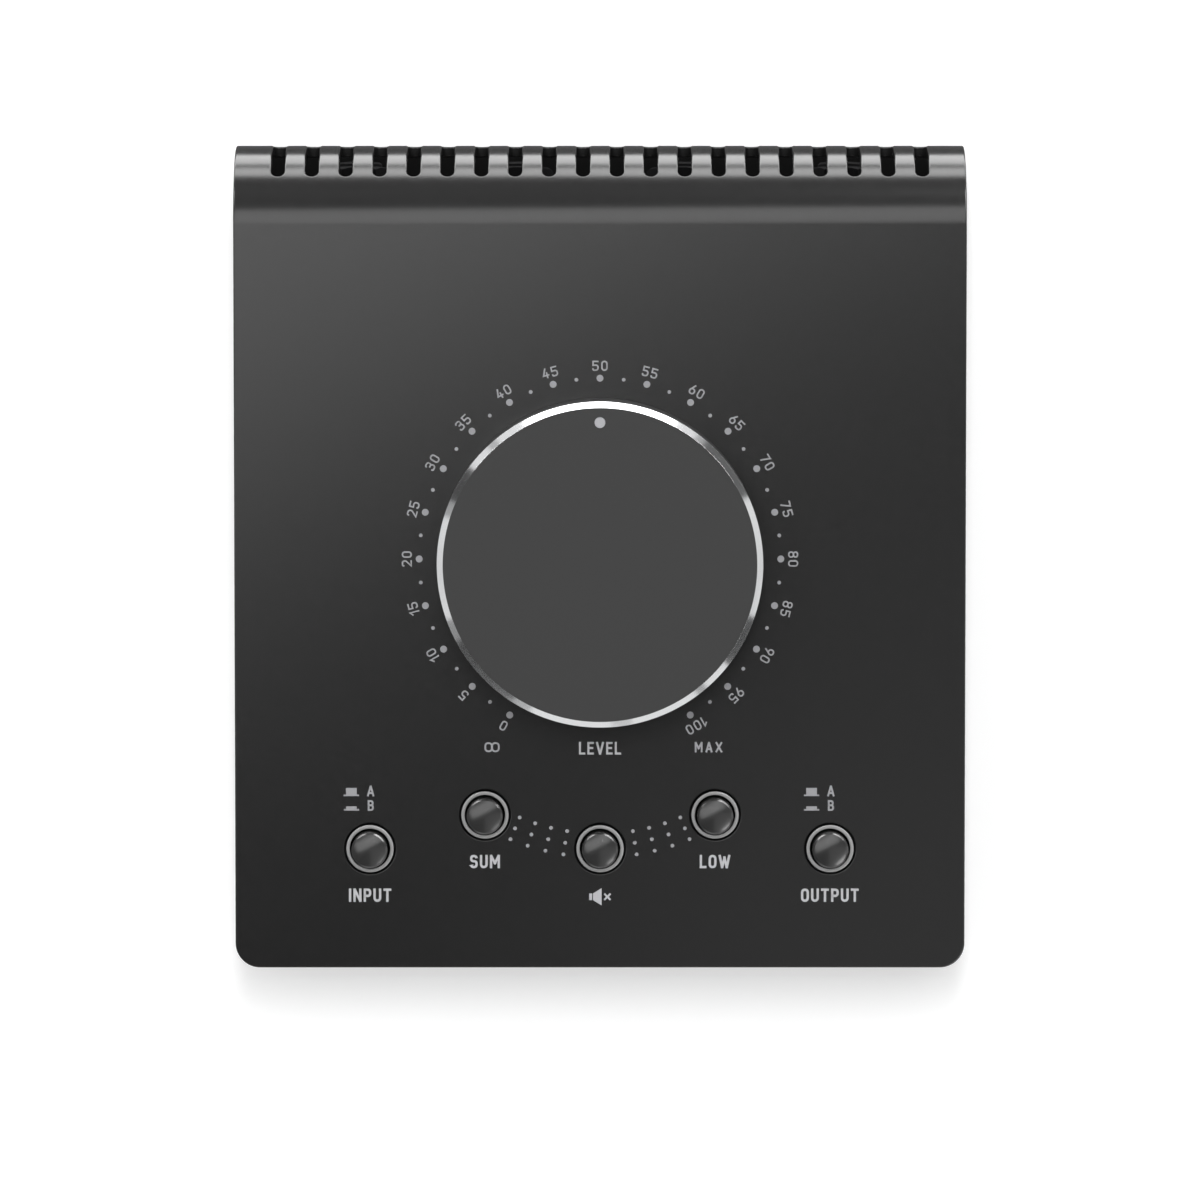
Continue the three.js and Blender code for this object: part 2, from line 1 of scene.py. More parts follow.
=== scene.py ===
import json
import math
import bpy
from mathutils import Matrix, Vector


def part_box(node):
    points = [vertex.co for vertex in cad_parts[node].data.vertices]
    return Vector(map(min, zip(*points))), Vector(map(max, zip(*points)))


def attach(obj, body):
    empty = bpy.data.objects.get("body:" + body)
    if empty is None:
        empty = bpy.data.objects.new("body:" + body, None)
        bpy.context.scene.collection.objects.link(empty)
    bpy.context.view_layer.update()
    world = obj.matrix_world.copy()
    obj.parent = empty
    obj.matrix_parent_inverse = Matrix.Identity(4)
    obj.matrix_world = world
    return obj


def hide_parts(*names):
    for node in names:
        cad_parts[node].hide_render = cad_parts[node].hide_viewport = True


bl_info = {
    "name": "Studio Monitor Controller",
    "version": (1, 0, 0),
    "blender": (4, 5, 0),
    "location": "View3D > Sidebar > Controller",
    "description": "Dresses the frame of a desktop monitor controller with its finished pieces",
    "category": "Object",
}

import bmesh
import bpy
from bpy.props import FloatProperty, FloatVectorProperty, IntProperty, PointerProperty
from mathutils import Matrix, Vector

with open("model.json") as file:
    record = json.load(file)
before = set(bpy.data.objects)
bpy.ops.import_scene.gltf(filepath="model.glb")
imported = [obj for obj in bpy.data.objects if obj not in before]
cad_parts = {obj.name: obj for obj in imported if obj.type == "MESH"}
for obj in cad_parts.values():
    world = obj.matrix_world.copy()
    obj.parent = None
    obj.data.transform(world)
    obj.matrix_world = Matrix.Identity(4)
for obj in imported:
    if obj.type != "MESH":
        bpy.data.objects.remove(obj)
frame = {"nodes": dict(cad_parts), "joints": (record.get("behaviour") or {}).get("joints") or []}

# Units, the distance at which two points are one, and how finely curved forms are divided
MM = 0.001
TOUCHING = MM / 1000
CORNER_STEPS = 4
HOLE_SEGMENTS = 48
TURN_SEGMENTS = 64
KNOB_SEGMENTS = 256
DIAL_DOT_SEGMENTS = 32
ARC_DOT_SEGMENTS = 24
ROLL_CUTS = 40
SMOOTH_ANGLE = math.radians(32)

# How far up a normal points: at least this on a flat face, and less than this on an upright one
FLAT = 0.999
UPRIGHT = 0.01

# The face's own frame: its origin is where the dial's axis meets it, and its Z points out
DIAL = next(joint for joint in frame["joints"] if joint["name"] == "dial_turn")
FACE_UP = -Vector(DIAL["axis"]).normalized()
FACE_RIGHT = Vector((1, 0, 0))
FACE_BACK = FACE_UP.cross(FACE_RIGHT)
FACE_ORIGIN = Vector(DIAL["pos_m"])
FACE = Matrix.Translation(FACE_ORIGIN) @ Matrix((FACE_RIGHT, FACE_BACK, FACE_UP)).transposed().to_4x4()
TILT = math.atan2(FACE_BACK.z, FACE_BACK.y)

# How far the rolled edge turns, from the sloping face to straight down
ROLL_TURN = math.pi / 2 + TILT

# Stands a flat outline up, with its upper side to the rear
REARWARDS = Matrix(((-1, 0, 0), (0, 0, 1), (0, 1, 0))).to_4x4()


def numbered(stem, total):
    return [f"{stem}_{i}" for i in range(1, total + 1)]


# The nodes that come in numbers
BUTTON_COUNT = 5
JACK_COLUMNS = 4
JACK_ROWS = 2
CAPS = numbered("button_cap", BUTTON_COUNT)
JACK_NUTS = numbered("jack_nut", JACK_COLUMNS * JACK_ROWS)
CASE_SCREWS = numbered("case_screw", 4)
PANEL_SCREWS = numbered("panel_screw", 2)
BOARD_SCREWS = numbered("board_screw", 4)
FEET = numbered("rubber_foot", 4)


# Settings

def length(name, millimetres, description):
    return FloatProperty(
        name=name, description=description, default=millimetres * MM, unit="LENGTH", precision=5
    )


def angle(name, degrees, description):
    return FloatProperty(name=name, description=description, default=math.radians(degrees), subtype="ANGLE")


def count(name, value, description):
    return IntProperty(name=name, description=description, default=value, min=1)


def tone(red, green, blue):
    """A colour from its screen levels, 0 to 255"""
    return tuple((level / 255) ** 2.2 for level in (red, green, blue))


def colour(name, levels, description):
    return FloatVectorProperty(
        name=name, description=description, default=tone(*levels), size=3, min=0, max=1, subtype="COLOR"
    )


class CoverSettings(bpy.types.PropertyGroup):
    """Sizes of the bent top cover"""

    thickness: length("Plate", 2, "Thickness of the bent plate")
    roll_radius: length("Roll radius", 14.5, "Outer radius of the rolled rear edge")
    flange_drop: length("Flange", 4.5, "Height of the straight flange below the roll")
    corner_radius: length("Corner radius", 4.6, "Radius of the two front corners")
    edge_round: length("Edge rounding", 0.3, "Radius along the edges of the plate")
    slot_count: count("Slots", 20, "Number of vent slots")
    slot_width: length("Slot width", 2.5, "Width of a vent slot")
    slot_margin: length("Slot margin", 8.15, "From the side of the cover to the first slot's middle")
    slot_start: angle("Slot start", 39, "Where the slots start, as an angle round the roll from straight up")
    slot_drop: length("Slot drop", 1, "How far the slots run past the side of the roll")
    shaft_hole: length("Shaft hole", 4.55, "Radius of the hole for the dial's shaft")
    button_hole: length("Button hole", 4.69, "Radius of the holes for the buttons")
    pillar_radius: length("Pillar", 3, "Radius of the pillars that take the case screws")
    standoff_radius: length("Standoff", 2.5, "Radius of the standoffs that carry the main board")
    screw_bore: length("Screw bore", 1.8, "Radius of the screw bores in pillars and standoffs")


class CaseSettings(bpy.types.PropertyGroup):
    """Sizes of the base tray, the rear panel, the feet and the screws"""

    reveal: length("Reveal", 0.5, "How far the tray is set in under the cover")
    wall: length("Wall", 1.5, "Thickness of the tray and of the rear panel")
    gap: length("Gap", 0.3, "Gap between the tray and the cover")
    edge_round: length("Edge rounding", 0.25, "Radius along the edges of the sheet")
    screw_hole: length("Screw hole", 1.8, "Radius of the screw holes")
    foot_hole: length("Foot hole", 2.3, "Radius of the holes for the feet")
    socket_hole: length("Socket hole", 4.8, "Radius of the holes for the sockets")
    tab_width: length("Tab width", 12, "Width of the rear panel's two tabs")
    head_radius: length("Screw head", 2.8, "Radius of a screw's head")
    head_height: length("Head height", 1.7, "Height of a screw's head")
    shank_radius: length("Shank", 1.5, "Radius of a screw's shank")
    thread_pitch: length("Thread pitch", 0.6, "From one turn of a screw's thread to the next")
    drive_radius: length("Screw drive", 1.5, "Reach of the cross recess in a screw head")
    drive_width: length("Drive width", 0.7, "Width of the cross recess in a screw head")
    drive_depth: length("Drive depth", 0.9, "Depth of the cross recess in a screw head")


class KnobSettings(bpy.types.PropertyGroup):
    """Sizes of the dial knob and its pointer"""

    chamfer: length("Chamfer", 1.12, "Width of the polished chamfer round the top")
    rim: length("Lower rim", 0.5, "Chamfer round the lower rim")
    edge_round: length("Edge rounding", 0.06, "Radius of the knob's crisp edges")
    wall: length("Wall", 3, "Thickness of the skirt and of the top")
    hub_radius: length("Hub", 9, "Radius of the hub that takes the shaft")
    hub_low: length("Hub foot", 5.6, "Height of the hub's foot above the face")
    bore: length("Bore", 3.3, "Radius of the shaft bore")
    bore_end: length("Bore end", 16.2, "Height of the end of the shaft bore")
    pointer_gap: length("Pointer gap", 0.02, "Gap round the inlaid pointer")
    grub_hole: length("Grub screw hole", 1.8, "Radius of the hole for the grub screw")


class SocketSettings(bpy.types.PropertyGroup):
    """Sizes of the jack housings, bushings and nuts"""

    bushing: length("Bushing", 4.5, "Outer radius of a threaded bushing")
    bushing_length: length("Bushing length", 5.3, "From the housing's rear to the bushing's mouth")
    bore: length("Bore", 3.25, "Radius of a socket's bore")
    bore_floor: length("Bore floor", 4.5, "Thickness of the housing behind a bore")
    housing_round: length("Housing rounding", 0.4, "Radius along the edges of a housing")
    thread_pitch: length("Thread pitch", 0.75, "From one turn of the thread to the next")
    thread_depth: length("Thread depth", 0.25, "Depth of the thread")
    nut_flats: length("Nut", 11, "Width of a nut across its flats")
    nut_gap: length("Nut gap", 0.3, "Gap between a nut and its bushing")
    contact: length("Contact", 1.2, "Width of a contact strip in a bore")


class FootSettings(bpy.types.PropertyGroup):
    """Sizes of the rubber feet"""

    height: length("Height", 2.7, "Height of a foot's pad")
    taper: length("Taper", 0.7, "How much narrower a pad is on the ground")
    dish: length("Dish", 0.5, "Depth of the hollow under a pad")
    edge_round: length("Edge rounding", 0.5, "Radius round a pad")
    stem: length("Stem", 2, "Radius of the push-in stem")
    barb: length("Barb", 2.8, "Radius of the barb that holds the stem")
    barb_low: length("Barb foot", 4.8, "Height of the barb's lower side")


class ButtonSettings(bpy.types.PropertyGroup):
    """Sizes of the push buttons and the rings round them"""

    chamfer: length("Chamfer", 0.35, "Width of the chamfer round a cap's crown")
    chamfer_slope: angle("Chamfer slope", 31, "Slope of the chamfer")
    chamfer_round: length("Chamfer rounding", 0.16, "Radius along the outer edge of the chamfer")
    crown: length("Crown", 0.45, "Rise of a cap's crown")
    ring_inner: length("Ring inside", 3.75, "Inner radius of a ring")
    ring_outer: length("Ring outside", 4.41, "Outer radius of a ring")
    ring_rise: length("Ring rise", 0.25, "How far a ring stands above the face")
    ring_round: length("Ring rounding", 0.1, "Radius of a ring's upper edges")
    ring_flange: length("Ring flange", 5.59, "Radius of a ring's flange under the face")


class PrintSettings(bpy.types.PropertyGroup):
    """Sizes of the print on the face"""

    ink: length("Ink", 0.03, "Thickness of the print")
    number_radius: length("Number radius", 35.9, "From the dial's axis to the middle of a number")
    number_height: length("Number height", 1.9, "Height of the numbers")
    number_stroke: length("Number stroke", 0.28, "Stroke of the numbers")
    dot_radius: length("Dot circle", 33.6, "Radius of the circle of dots")
    dial_shift: length("Dial shift", 0.1, "How far the dial's print sits before the dial's axis")
    large_dot: length("Large dot", 0.64, "Radius of the dots beside the numbers")
    small_dot: length("Small dot", 0.35, "Radius of the dots between the numbers and on the arcs")
    word_height: length("Word height", 2.5, "Height of the words under the buttons")
    word_stroke: length("Word stroke", 0.44, "Stroke of the words under the buttons")
    arc_front: length("Arc centre", 13.1, "How far the dotted arcs' centre lies before the dial's axis")
    arc_first: length("First arc", 38.3, "Radius of the first dotted arc")
    arc_pitch: length("Arc pitch", 2.2, "From one dotted arc to the next")
    arc_step: angle("Arc step", 4.6, "Angle from one dot of an arc to the next")


class FinishSettings(bpy.types.PropertyGroup):
    """Colours of the finishes"""

    powder: colour("Powder coat", (32, 32, 32), "Satin black coat of the case")
    # Painted shade: darker than the powder coat, so that the vent slots' walls, and the tray and rear panel
    # seen through the slots, look black
    inner: colour("Inner coat", (22, 22, 22), "Matt black coat of the tray and the rear panel")
    anodised: colour("Anodised", (65, 65, 65), "Dark anodised aluminium of the knob")
    polished: colour("Polished", (215, 216, 217), "Bare polished aluminium of the knob's chamfer")
    pointer: colour("Pointer", (176, 176, 180), "Enamel of the pointer")
    ring: colour("Ring", (172, 172, 172), "Satin metal of the rings")
    cap: colour("Cap", (56, 56, 56), "Glossy plastic of the caps")
    ink: colour("Ink", (194, 194, 197), "Words printed on the face")
    fine_ink: colour("Fine ink", (162, 162, 165), "Dots, numbers and marks printed on the face")
    steel: colour("Steel", (176, 177, 180), "Zinc-plated steel of the screws")
    shaft: colour("Shaft", (190, 190, 188), "Turned steel of the shaft")
    brass: colour("Brass", (202, 176, 112), "Brass of the potentiometer's bushing")
    nickel: colour("Nickel", (150, 148, 143), "Nickel of nuts, bushings and washer")
    moulding: colour("Moulding", (25, 25, 26), "Black moulded plastic")
    nylon: colour("Nylon", (222, 219, 210), "White nylon of the sliders")
    rubber: colour("Rubber", (36, 36, 36), "Rubber of the feet")
    board: colour("Board", (34, 82, 56), "Solder mask of the boards")
    ribbon: colour("Ribbon", (148, 150, 154), "Insulation of the ribbon cable")


class StageSettings(bpy.types.PropertyGroup):
    """Floor, camera and light"""

    camera_height: length("Camera height", 1338.4, "Height of the camera above the floor")
    camera_front: length("Camera offset", 8.23, "How far the camera stands before the middle")
    lens: FloatProperty(
        name="Lens", description="Focal length on a 36 mm sensor", default=208.35, unit="CAMERA"
    )
    floor_size: length("Floor", 9000, "Side of the floor")


class ControllerSettings(bpy.types.PropertyGroup):
    """All settings of the controller"""

    cover: PointerProperty(type=CoverSettings)
    case: PointerProperty(type=CaseSettings)
    socket: PointerProperty(type=SocketSettings)
    foot: PointerProperty(type=FootSettings)
    knob: PointerProperty(type=KnobSettings)
    button: PointerProperty(type=ButtonSettings)
    print: PointerProperty(type=PrintSettings)
    finish: PointerProperty(type=FinishSettings)
    stage: PointerProperty(type=StageSettings)


# Node trees

class Nodes:
    """A node tree that is built node by node, where an input is a value or another node"""

    def __init__(self, group):
        self.group = group

    def node(self, kind, inputs=None, **settings):
        made = self.group.nodes.new(kind)
        for name, value in settings.items():
            setattr(made, name, value)
        for key, value in (inputs or {}).items():
            self.feed(value, made.inputs[key])
        return made

    def feed(self, value, socket):
        if isinstance(value, bpy.types.Node):
            value = value.outputs[0]
        if isinstance(value, bpy.types.NodeSocket):
            self.group.links.new(value, socket)
        else:
            socket.default_value = value

    def math(self, operation, first, second=0.0):
        return self.node("ShaderNodeMath", {0: first, 1: second}, operation=operation)

    def plus(self, first, second):
        return self.math("ADD", first, second)

    def minus(self, first, second):
        return self.math("SUBTRACT", first, second)

    def times(self, first, second):
        return self.math("MULTIPLY", first, second)

    def over(self, first, second):
        return self.math("DIVIDE", first, second)

    def vector(self, x=0.0, y=0.0, z=0.0):
        return self.node("ShaderNodeCombineXYZ", {0: x, 1: y, 2: z})


class FormNodes(Nodes):
    """A geometry tree with named inputs, which ends in Realize Instances and Set Material"""

    def __init__(self, name, **inputs):
        super().__init__(bpy.data.node_groups.new(name, "GeometryNodeTree"))
        interface = self.group.interface
        interface.new_socket("Geometry", in_out="INPUT", socket_type="NodeSocketGeometry")
        self.identifiers = {}
        for label, kind in {**inputs, "material": "Material"}.items():
            socket = interface.new_socket(label, in_out="INPUT", socket_type="NodeSocket" + kind)
            self.identifiers[label] = socket.identifier
        interface.new_socket("Geometry", in_out="OUTPUT", socket_type="NodeSocketGeometry")
        self.start = self.group.nodes.new("NodeGroupInput").outputs

    def points(self, total, x, y):
        """This many points, each at a place that follows from its number"""
        line = self.node("GeometryNodeMeshLine", {"Count": total})
        return self.node("GeometryNodeSetPosition", {"Geometry": line, "Position": self.vector(x, y)})

    def piece(self):
        """The mesh of the piece that the tree repeats"""
        return self.node("GeometryNodeObjectInfo", {"Object": self.start["piece"]}).outputs["Geometry"]

    def copies(self, points, form, scale=(1, 1, 1)):
        """A form at each of the points"""
        return self.node("GeometryNodeInstanceOnPoints", {"Points": points, "Instance": form, "Scale": scale})

    def end(self, form):
        whole = self.node("GeometryNodeRealizeInstances", {"Geometry": form})
        done = self.node("GeometryNodeSetMaterial", {"Geometry": whole, "Material": self.start["material"]})
        self.node("NodeGroupOutput", {0: done})
        return self

    def attach(self, target, material, **values):
        modifier = target.modifiers.new(self.group.name, "NODES")
        modifier.node_group = self.group
        for label, value in {**values, "material": material}.items():
            modifier[self.identifiers[label]] = value


def evaluated_mesh(source):
    """The plain mesh of an object with its modifiers, after which the object is gone"""
    depsgraph = bpy.context.evaluated_depsgraph_get()
    mesh = bpy.data.meshes.new_from_object(source.evaluated_get(depsgraph), depsgraph=depsgraph)
    bpy.data.objects.remove(source)
    return mesh


def linked(name, data):
    made = bpy.data.objects.new(name, data)
    bpy.context.scene.collection.objects.link(made)
    return made


# Outlines, in which an outer loop runs against the clock and a hole with it

def rounded(corners, closed=True, steps=CORNER_STEPS):
    """The points of an outline whose corners (x, y, radius) are rounded by arcs"""
    points = []
    for i, (x, y, radius) in enumerate(corners):
        corner = Vector((x, y))
        if not radius or (not closed and i in (0, len(corners) - 1)):
            points.append(corner)
            continue
        before = (Vector(corners[i - 1][:2]) - corner).normalized()
        after = (Vector(corners[(i + 1) % len(corners)][:2]) - corner).normalized()
        half = before.angle(after) / 2
        middle = corner + (before + after).normalized() * radius / math.sin(half)
        start = corner + before * radius / math.tan(half) - middle
        turn = before.angle_signed(after)
        sweep = math.copysign(math.pi - 2 * half, turn)
        for step in range(steps + 1):
            swing = -sweep * step / steps
            points.append(middle + Matrix.Rotation(-swing, 2) @ start)
    return points


def circle(x, y, radius, segments=HOLE_SEGMENTS):
    """A round hole"""
    turns = [-2 * math.pi * i / segments for i in range(segments)]
    return [Vector((x + radius * math.cos(turn), y + radius * math.sin(turn))) for turn in turns]


def rectangle(low, high, radius):
    return rounded([(low[0], low[1], radius), (high[0], low[1], radius),
                    (high[0], high[1], radius), (low[0], high[1], radius)])


def outline_object(loops):
    data = bpy.data.curves.new("outline", "CURVE")
    data.dimensions = "3D"
    for loop in loops:
        spline = data.splines.new("POLY")
        spline.points.add(len(loop) - 1)
        for point, (x, y) in zip(spline.points, loop):
            point.co = (x, y, 0, 1)
        spline.use_cyclic_u = True
    return linked("outline", data)


def vents_tree():
    """Adds a row of upright slots with round ends to an outline"""
    tree = FormNodes("Row of slots", slots="Int", pitch="Float", width="Float", length="Float",
                     middle="Float")
    start = tree.start
    box = tree.node("GeometryNodeCurvePrimitiveQuadrilateral", {
        "Width": start["width"], "Height": start["length"],
    })
    slot = tree.node("GeometryNodeFilletCurve", {
        "Curve": box, "Count": 3 * CORNER_STEPS, "Radius": tree.times(start["width"], 0.5),
        "Limit Radius": True,
    }, mode="POLY")
    hole = tree.node("GeometryNodeReverseCurve", {"Curve": slot})
    reach = tree.times(tree.minus(start["slots"], 1), tree.times(start["pitch"], -0.5))
    row = tree.node("GeometryNodeMeshLine", {
        "Count": start["slots"],
        "Start Location": tree.vector(reach, start["middle"]),
        "Offset": tree.vector(start["pitch"]),
    })
    whole = tree.node("GeometryNodeRealizeInstances", {"Geometry": tree.copies(row, hole)})
    both = tree.node("GeometryNodeJoinGeometry", {0: whole})
    tree.feed(start["Geometry"], both.inputs[0])
    return tree.end(both)


def plate_tree():
    """Fills an outline to a plate whose edges are rounded all along, with its top at height zero"""
    tree = FormNodes("Rounded plate", thickness="Float", edge="Float", steps="Int")
    start = tree.start
    thickness, edge, steps = start["thickness"], start["edge"], start["steps"]
    index = tree.node("GeometryNodeInputIndex")
    lower = tree.math("GREATER_THAN", index, tree.plus(steps, 0.5))
    turn = tree.over(tree.times(tree.minus(index, lower), math.pi / 2), steps)
    out = tree.times(edge, tree.minus(tree.math("SINE", turn), 1.0))
    curve_down = tree.times(edge, tree.minus(1.0, tree.math("COSINE", turn)))
    straight = tree.minus(thickness, tree.times(edge, 2.0))
    down = tree.plus(curve_down, tree.times(lower, straight))
    profile = tree.points(tree.plus(tree.times(steps, 2), 2), out, down)
    section = tree.node("GeometryNodeMeshToCurve", {"Mesh": profile})
    loops = tree.node("GeometryNodeSetCurveNormal", {"Curve": start["Geometry"]}, mode="Z_UP")
    band = tree.node("GeometryNodeCurveToMesh", {"Curve": loops, "Profile Curve": section})
    rim = tree.math("LESS_THAN", tree.node("GeometryNodeInputMeshEdgeNeighbors"), 1.5)
    height = tree.node("ShaderNodeSeparateXYZ", {0: tree.node("GeometryNodeInputPosition")}).outputs[2]
    upper = tree.math("GREATER_THAN", height, tree.times(thickness, -0.5))
    faces = []
    for side in (upper, tree.minus(1.0, upper)):
        rims = tree.node("GeometryNodeMeshToCurve", {"Mesh": band, "Selection": tree.times(rim, side)})
        faces.append(tree.node("GeometryNodeFillCurve", {"Curve": rims}, mode="TRIANGLES"))
    drop = tree.vector(0.0, 0.0, tree.times(thickness, -1.0))
    bottom = tree.node("GeometryNodeTransform", {"Geometry": faces[1], "Translation": drop})
    whole = tree.node("GeometryNodeJoinGeometry", {0: band})
    tree.feed(faces[0], whole.inputs[0])
    tree.feed(bottom, whole.inputs[0])
    closed = tree.node("GeometryNodeMergeByDistance", {"Geometry": whole, "Distance": TOUCHING})
    return tree.end(closed)


def rows_tree():
    """Repeats a piece in rows and columns round the middle"""
    tree = FormNodes("Rows and columns", piece="Object", columns="Int", rows="Int", reach_x="Float",
                     reach_y="Float")
    start = tree.start
    grid = tree.node("GeometryNodeMeshGrid", {
        "Size X": start["reach_x"], "Size Y": start["reach_y"],
        "Vertices X": start["columns"], "Vertices Y": start["rows"],
    })
    return tree.end(tree.copies(grid, tree.piece()))


def points_tree():
    """Repeats a piece at the points of a mesh"""
    tree = FormNodes("At points", piece="Object")
    return tree.end(tree.copies(tree.start["Geometry"], tree.piece()))


def dial_dots_tree():
    """Flat dots on a circle, large and small by turns"""
    tree = FormNodes("Dial dots", dots="Int", sweep="Float", circle="Float", large="Float",
                     small="Float", ink="Float")
    start = tree.start
    index = tree.node("GeometryNodeInputIndex")
    step = tree.over(start["sweep"], tree.minus(start["dots"], 1))
    turn = tree.minus(tree.times(index, step), tree.times(start["sweep"], 0.5))
    along = tree.times(start["circle"], tree.math("SINE", turn))
    back = tree.times(start["circle"], tree.math("COSINE", turn))
    shrink = tree.times(tree.math("MODULO", index, 2), tree.minus(start["large"], start["small"]))
    radius = tree.minus(start["large"], shrink)
    dot = tree.node("GeometryNodeMeshCylinder", {
        "Vertices": DIAL_DOT_SEGMENTS, "Radius": 1.0, "Depth": 1.0,
    })
    places = tree.points(start["dots"], along, back)
    return tree.end(tree.copies(places, dot, tree.vector(radius, radius, start["ink"])))


def arc_dots_tree():
    """Flat dots on concentric arcs, the same on both sides of the middle"""
    tree = FormNodes("Arcs of dots", arcs="Int", dots="Int", first="Int", first_radius="Float",
                     pitch="Float", step="Float", dot="Float", ink="Float")
    start = tree.start
    index = tree.node("GeometryNodeInputIndex")
    side = tree.minus(tree.times(tree.math("MODULO", index, 2), 2), 1)
    pair = tree.math("FLOOR", tree.over(index, 2))
    place = tree.plus(tree.math("MODULO", pair, start["dots"]), start["first"])
    arc = tree.math("FLOOR", tree.over(pair, start["dots"]))
    turn = tree.times(tree.times(side, place), start["step"])
    radius = tree.plus(start["first_radius"], tree.times(arc, start["pitch"]))
    along = tree.times(radius, tree.math("SINE", turn))
    front = tree.times(radius, tree.times(tree.math("COSINE", turn), -1))
    total = tree.times(tree.times(start["arcs"], start["dots"]), 2)
    dot = tree.node("GeometryNodeMeshCylinder", {
        "Vertices": ARC_DOT_SEGMENTS, "Radius": start["dot"], "Depth": start["ink"],
    })
    return tree.end(tree.copies(tree.points(total, along, front), dot))


# Forms

def mesh_of(form, name):
    """The mesh of a form that has been drawn, which is then freed"""
    mesh = bpy.data.meshes.new(name)
    form.to_mesh(mesh)
    form.free()
    return mesh


def plate(loops, thickness, edge, material, vents=None):
    """A flat plate with rounded edges, from its outline, its holes and its row of vents"""
    source = outline_object(loops)
    if vents:
        vents_tree().attach(source, material, **vents)
    plate_tree().attach(source, material, thickness=thickness, edge=edge, steps=CORNER_STEPS)
    mesh = evaluated_mesh(source)
    form = bmesh.new()
    form.from_mesh(mesh)
    bmesh.ops.remove_doubles(form, verts=form.verts, dist=TOUCHING)
    bmesh.ops.recalc_face_normals(form, faces=form.faces)
    form.to_mesh(mesh)
    form.free()
    return mesh


def flat_normal(vertex):
    """The shading normal of a plate's vertex: square on its flats, and round along its edges"""
    for face in vertex.link_faces:
        if abs(face.normal.z) > FLAT:
            return Vector((0, 0, math.copysign(1, face.normal.z)))
    walls = [face.normal for face in vertex.link_faces if abs(face.normal.z) < UPRIGHT]
    return sum(walls, Vector()).normalized() if walls else vertex.normal.copy()


def bend(mesh, along, cuts, bent):
    """Cuts a flat plate across its bends, and lays each point and its normal where bent says"""
    form = bmesh.new()
    form.from_mesh(mesh)
    for cut in cuts:
        everything = form.verts[:] + form.edges[:] + form.faces[:]
        bmesh.ops.bisect_plane(form, geom=everything, plane_co=along * cut, plane_no=along)
    form.normal_update()
    normals = [flat_normal(vertex) for vertex in form.verts]
    for i, vertex in enumerate(form.verts):
        vertex.co, turned_by = bent(vertex.co.copy())
        normals[i] = turned_by @ normals[i]
    form.to_mesh(mesh)
    form.free()
    mesh.shade_smooth()
    mesh.normals_split_custom_set_from_vertices(normals)
    return mesh


def turned(profile, segments=TURN_SEGMENTS):
    """A form turned round Z, from a profile of (radius, height) that starts and ends on the axis or closes"""
    form = bmesh.new()
    rings = []
    for radius, height in profile:
        if radius < TOUCHING:
            rings.append([form.verts.new((0, 0, height))])
            continue
        turns = [2 * math.pi * i / segments for i in range(segments)]
        rings.append([form.verts.new((radius * math.cos(t), radius * math.sin(t), height)) for t in turns])
    pairs = list(zip(rings, rings[1:]))
    if len(rings[0]) > 1:
        pairs.append((rings[-1], rings[0]))
    for lower, upper in pairs:
        if len(lower) == len(upper) == 1:
            continue
        for i in range(segments):
            j = (i + 1) % segments
            corners = [ring[k % len(ring)] for ring, k in ((lower, i), (lower, j), (upper, j), (upper, i))]
            form.faces.new(list(dict.fromkeys(corners)))
    bmesh.ops.recalc_face_normals(form, faces=form.faces)
    return mesh_of(form, "turned")


def block(low, high, edge):
    """A moulded block with rounded edges"""
    form = bmesh.new()
    bmesh.ops.create_cube(form, size=1)
    low, high = Vector(low), Vector(high)
    for vertex in form.verts:
        vertex.co = Vector(((low[i] + high[i]) / 2 + vertex.co[i] * (high[i] - low[i])) for i in range(3))
    bmesh.ops.bevel(form, geom=form.edges, offset=edge, segments=3, profile=0.5, affect="EDGES")
    bmesh.ops.recalc_face_normals(form, faces=form.faces)
    return mesh_of(form, "block")


def joined(*parts):
    """One mesh from several parts, each a mesh and the matrix that moves it"""
    form = bmesh.new()
    for mesh, matrix in parts:
        mesh.transform(matrix)
        form.from_mesh(mesh)
    return mesh_of(form, "joined")


def carved(mesh, tool, operation="DIFFERENCE"):
    """A form with a tool cut out of it, or with only what lies in the tool left of it"""
    body, cutter = linked("body", mesh), linked("cutter", tool)
    modifier = body.modifiers.new("Carve", "BOOLEAN")
    modifier.object = cutter
    modifier.operation = operation
    modifier.solver = "EXACT"
    done = evaluated_mesh(body)
    bpy.data.objects.remove(cutter)
    return done


def weighted(mesh):
    """Smooth shading with crisp edges, and flats that stay flat beside their rounded edges"""
    mesh.shade_smooth()
    mesh.set_sharp_from_angle(angle=SMOOTH_ANGLE)
    holder = linked("weighted", mesh)
    modifier = holder.modifiers.new("Weighted normals", "WEIGHTED_NORMAL")
    modifier.keep_sharp = True
    return evaluated_mesh(holder)


def finished(name, mesh, body, slot, nodes, *materials, shaded=False):
    """A finished piece: its mesh and materials, the body that it rides on, the nodes that it stands for"""
    if not shaded:
        mesh = weighted(mesh)
    mesh.name = name
    indices = [face.material_index for face in mesh.polygons]
    mesh.materials.clear()
    for each in materials:
        mesh.materials.append(each)
    mesh.polygons.foreach_set("material_index", indices)
    piece = linked(name, mesh)
    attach(piece, body)
    if nodes:
        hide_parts(*nodes)
    return piece


def repeated(template, tree, material, points=(), **values):
    """The mesh of a template that a tree repeats"""
    piece = linked("template", template)
    base = bpy.data.meshes.new("points")
    base.from_pydata([tuple(point) for point in points], [], [])
    holder = linked("copies", base)
    tree.attach(holder, material, piece=piece, **values)
    mesh = evaluated_mesh(holder)
    bpy.data.objects.remove(piece)
    return mesh


def box_centre(node):
    low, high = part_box(node)
    return (low + high) / 2


def on_face(node):
    """A node's middle in the face's own frame"""
    return FACE.inverted() @ box_centre(node)


